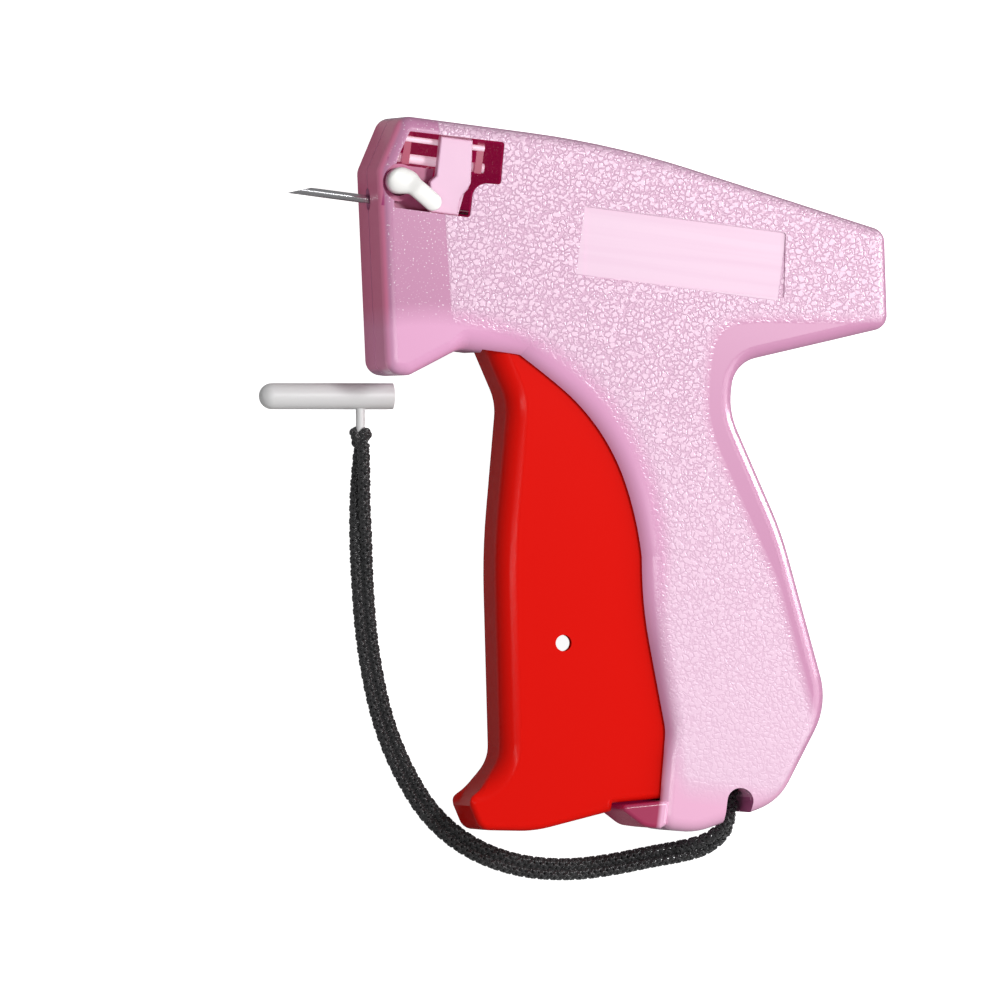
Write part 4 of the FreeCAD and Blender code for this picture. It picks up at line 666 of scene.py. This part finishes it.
# The knot: one more turn of the same braid, pulled tight in a trefoil round the stem's end.
knot = {"size": 0.56 * mm, "windingRadius": 0.60 * mm, "yarnRadius": 0.34 * mm, "lay": 4.2 * mm,
        "weave": 0.10 * mm, "points": 240, "rise": 1.6}
knotLow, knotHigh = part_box("tether_knot")
knotMiddle = (Vector(knotLow) + Vector(knotHigh)) / 2
knotPath = []
for i in range(knot["points"] + 1):
    turn = 2 * math.pi * i / knot["points"]
    knotPath.append(knotMiddle + knot["size"] * Vector((
        math.sin(turn) + 2 * math.sin(2 * turn), math.cos(turn) - 2 * math.cos(2 * turn),
        -knot["rise"] * math.sin(3 * turn))))
knotLine = bpy.data.meshes.new("line_knot")
knotLine.from_pydata(knotPath, [(i, i + 1) for i in range(len(knotPath) - 1)], [])
knotPiece = meshFromModifier("braided_knot", knotLine, braid, {
    "Lay": knot["lay"], "Winding Radius": knot["windingRadius"],
    "Yarn Radius": knot["yarnRadius"], "Weave": knot["weave"], "Step": cords["step"],
    "Material": yarnBlack})
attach(knotPiece, "housing")
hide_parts("tether_knot")
for side in ("outer", "inner"):
    curve = routeCurve("route_" + side, cords[side])
    path = pathOf(curve)
    bpy.data.objects.remove(curve)
    line = bpy.data.meshes.new("line_" + side)
    line.from_pydata(path, [(i, i + 1) for i in range(len(path) - 1)], [])
    strand = meshFromModifier("braided_strand_" + side, line, braid, {
        "Lay": cords["lay"], "Winding Radius": cords["windingRadius"],
        "Yarn Radius": cords["yarnRadius"], "Weave": cords["weave"], "Step": cords["step"],
        "Material": yarnBlack})
    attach(strand, "housing")
    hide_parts("tether_strand_" + side)
    print("strand", side, round(lengthOf(path), 4), "m,", len(strand.data.polygons), "faces")


# Floor, backdrop, lamps and camera

view = {"tilt": math.radians(12.0), "roll": math.radians(7.2), "distance": 4.0,
        "width": 0.210, "aim": toRow(0.0358, -0.0590, 0.0), "sensor": 36.0}
alongGun = Vector((math.cos(view["roll"]), math.sin(view["roll"]), 0.0))
upward = Vector((-math.sin(view["roll"]), math.cos(view["roll"]), 0.0))
toCamera = Vector((0, 0, 1)) * math.cos(view["tilt"]) - alongGun * math.sin(view["tilt"])
rightward = upward.cross(toCamera)
cameraData = bpy.data.cameras.new("camera")
cameraData.sensor_width = view["sensor"]
cameraData.lens = view["sensor"] * view["distance"] / view["width"]
cameraData.clip_start = 0.01
camera = bpy.data.objects.new("camera", cameraData)
turn = Matrix((rightward, upward, toCamera)).transposed()
camera.matrix_world = Matrix.Translation(view["aim"] + toCamera * view["distance"]) @ turn.to_4x4()
bpy.context.scene.collection.objects.link(camera)
bpy.context.scene.camera = camera

floorMesh = bpy.data.meshes.new("floor")
# A white table: it looks white to the camera, and throws less light back on to the tool.
table = {"reach": 3.0, "roughness": 0.8, "gloss": 0.1, "thrown": "#959595", "seen": "#CBCBCB",
         "glow": 0.95}
floorMesh.from_pydata([(-table["reach"], -table["reach"], 0), (table["reach"], -table["reach"], 0),
                       (table["reach"], table["reach"], 0), (-table["reach"], table["reach"], 0)],
                      [], [(0, 1, 2, 3)])
floor = bpy.data.objects.new("floor", floorMesh)
bpy.context.scene.collection.objects.link(floor)
floorMaterial, floorTree, floorShader = newMaterial("whiteTable", {
    "Roughness": table["roughness"], "Specular IOR Level": table["gloss"]})
rays = addNode(floorTree, "ShaderNodeLightPath")
seen = addNode(floorTree, "ShaderNodeMix", {"data_type": "RGBA"}, {
    "Factor": rays.outputs["Is Camera Ray"], "A": toLinear(table["thrown"]),
    "B": toLinear(table["seen"])})
glow = addNode(floorTree, ("MULTIPLY", rays.outputs["Is Camera Ray"], table["glow"]))
floorTree.links.new(seen.outputs["Result"], floorShader.inputs["Base Color"])
floorShader.inputs["Emission Color"].default_value = toLinear("#FFFFFF")
floorTree.links.new(glow.outputs[0], floorShader.inputs["Emission Strength"])
floorMesh.materials.append(floorMaterial)

# The streak lamp shows in glosses only: it draws the bright line along the back of the grip.
lamps = {
    "key": {"at": (0.17, 0.17, 0.60), "size": (0.09, 0.09), "power": 1.85},
    "crease": {"at": (-0.20, -0.04, 0.60), "size": (0.025, 0.35), "power": 0.55},
    "side": {"at": (0.44, -0.02, 0.38), "size": (0.26, 0.50), "power": 1.25},
    "streak": {"at": (0.47, 0.22, 0.18), "size": (0.16, 0.36), "power": 5.0},
}
for name, lamp in lamps.items():
    data = bpy.data.lights.new(name, "AREA")
    data.shape = "RECTANGLE"
    data.size, data.size_y = lamp["size"]
    data.energy = lamp["power"]
    light = bpy.data.objects.new(name, data)
    light.location = Vector(lamp["at"])
    light.visible_diffuse = name != "streak"
    light.rotation_euler = (view["aim"] - light.location).to_track_quat("-Z", "Y").to_euler()
    bpy.context.scene.collection.objects.link(light)

world = bpy.data.worlds.new("studio")
world.use_nodes = True
background = world.node_tree.nodes["Background"]
background.inputs["Color"].default_value = toLinear("#FFFFFF")
background.inputs["Strength"].default_value = 0.30
bpy.context.scene.world = world
bpy.context.scene.view_settings.view_transform = "Standard"
print("stage set")
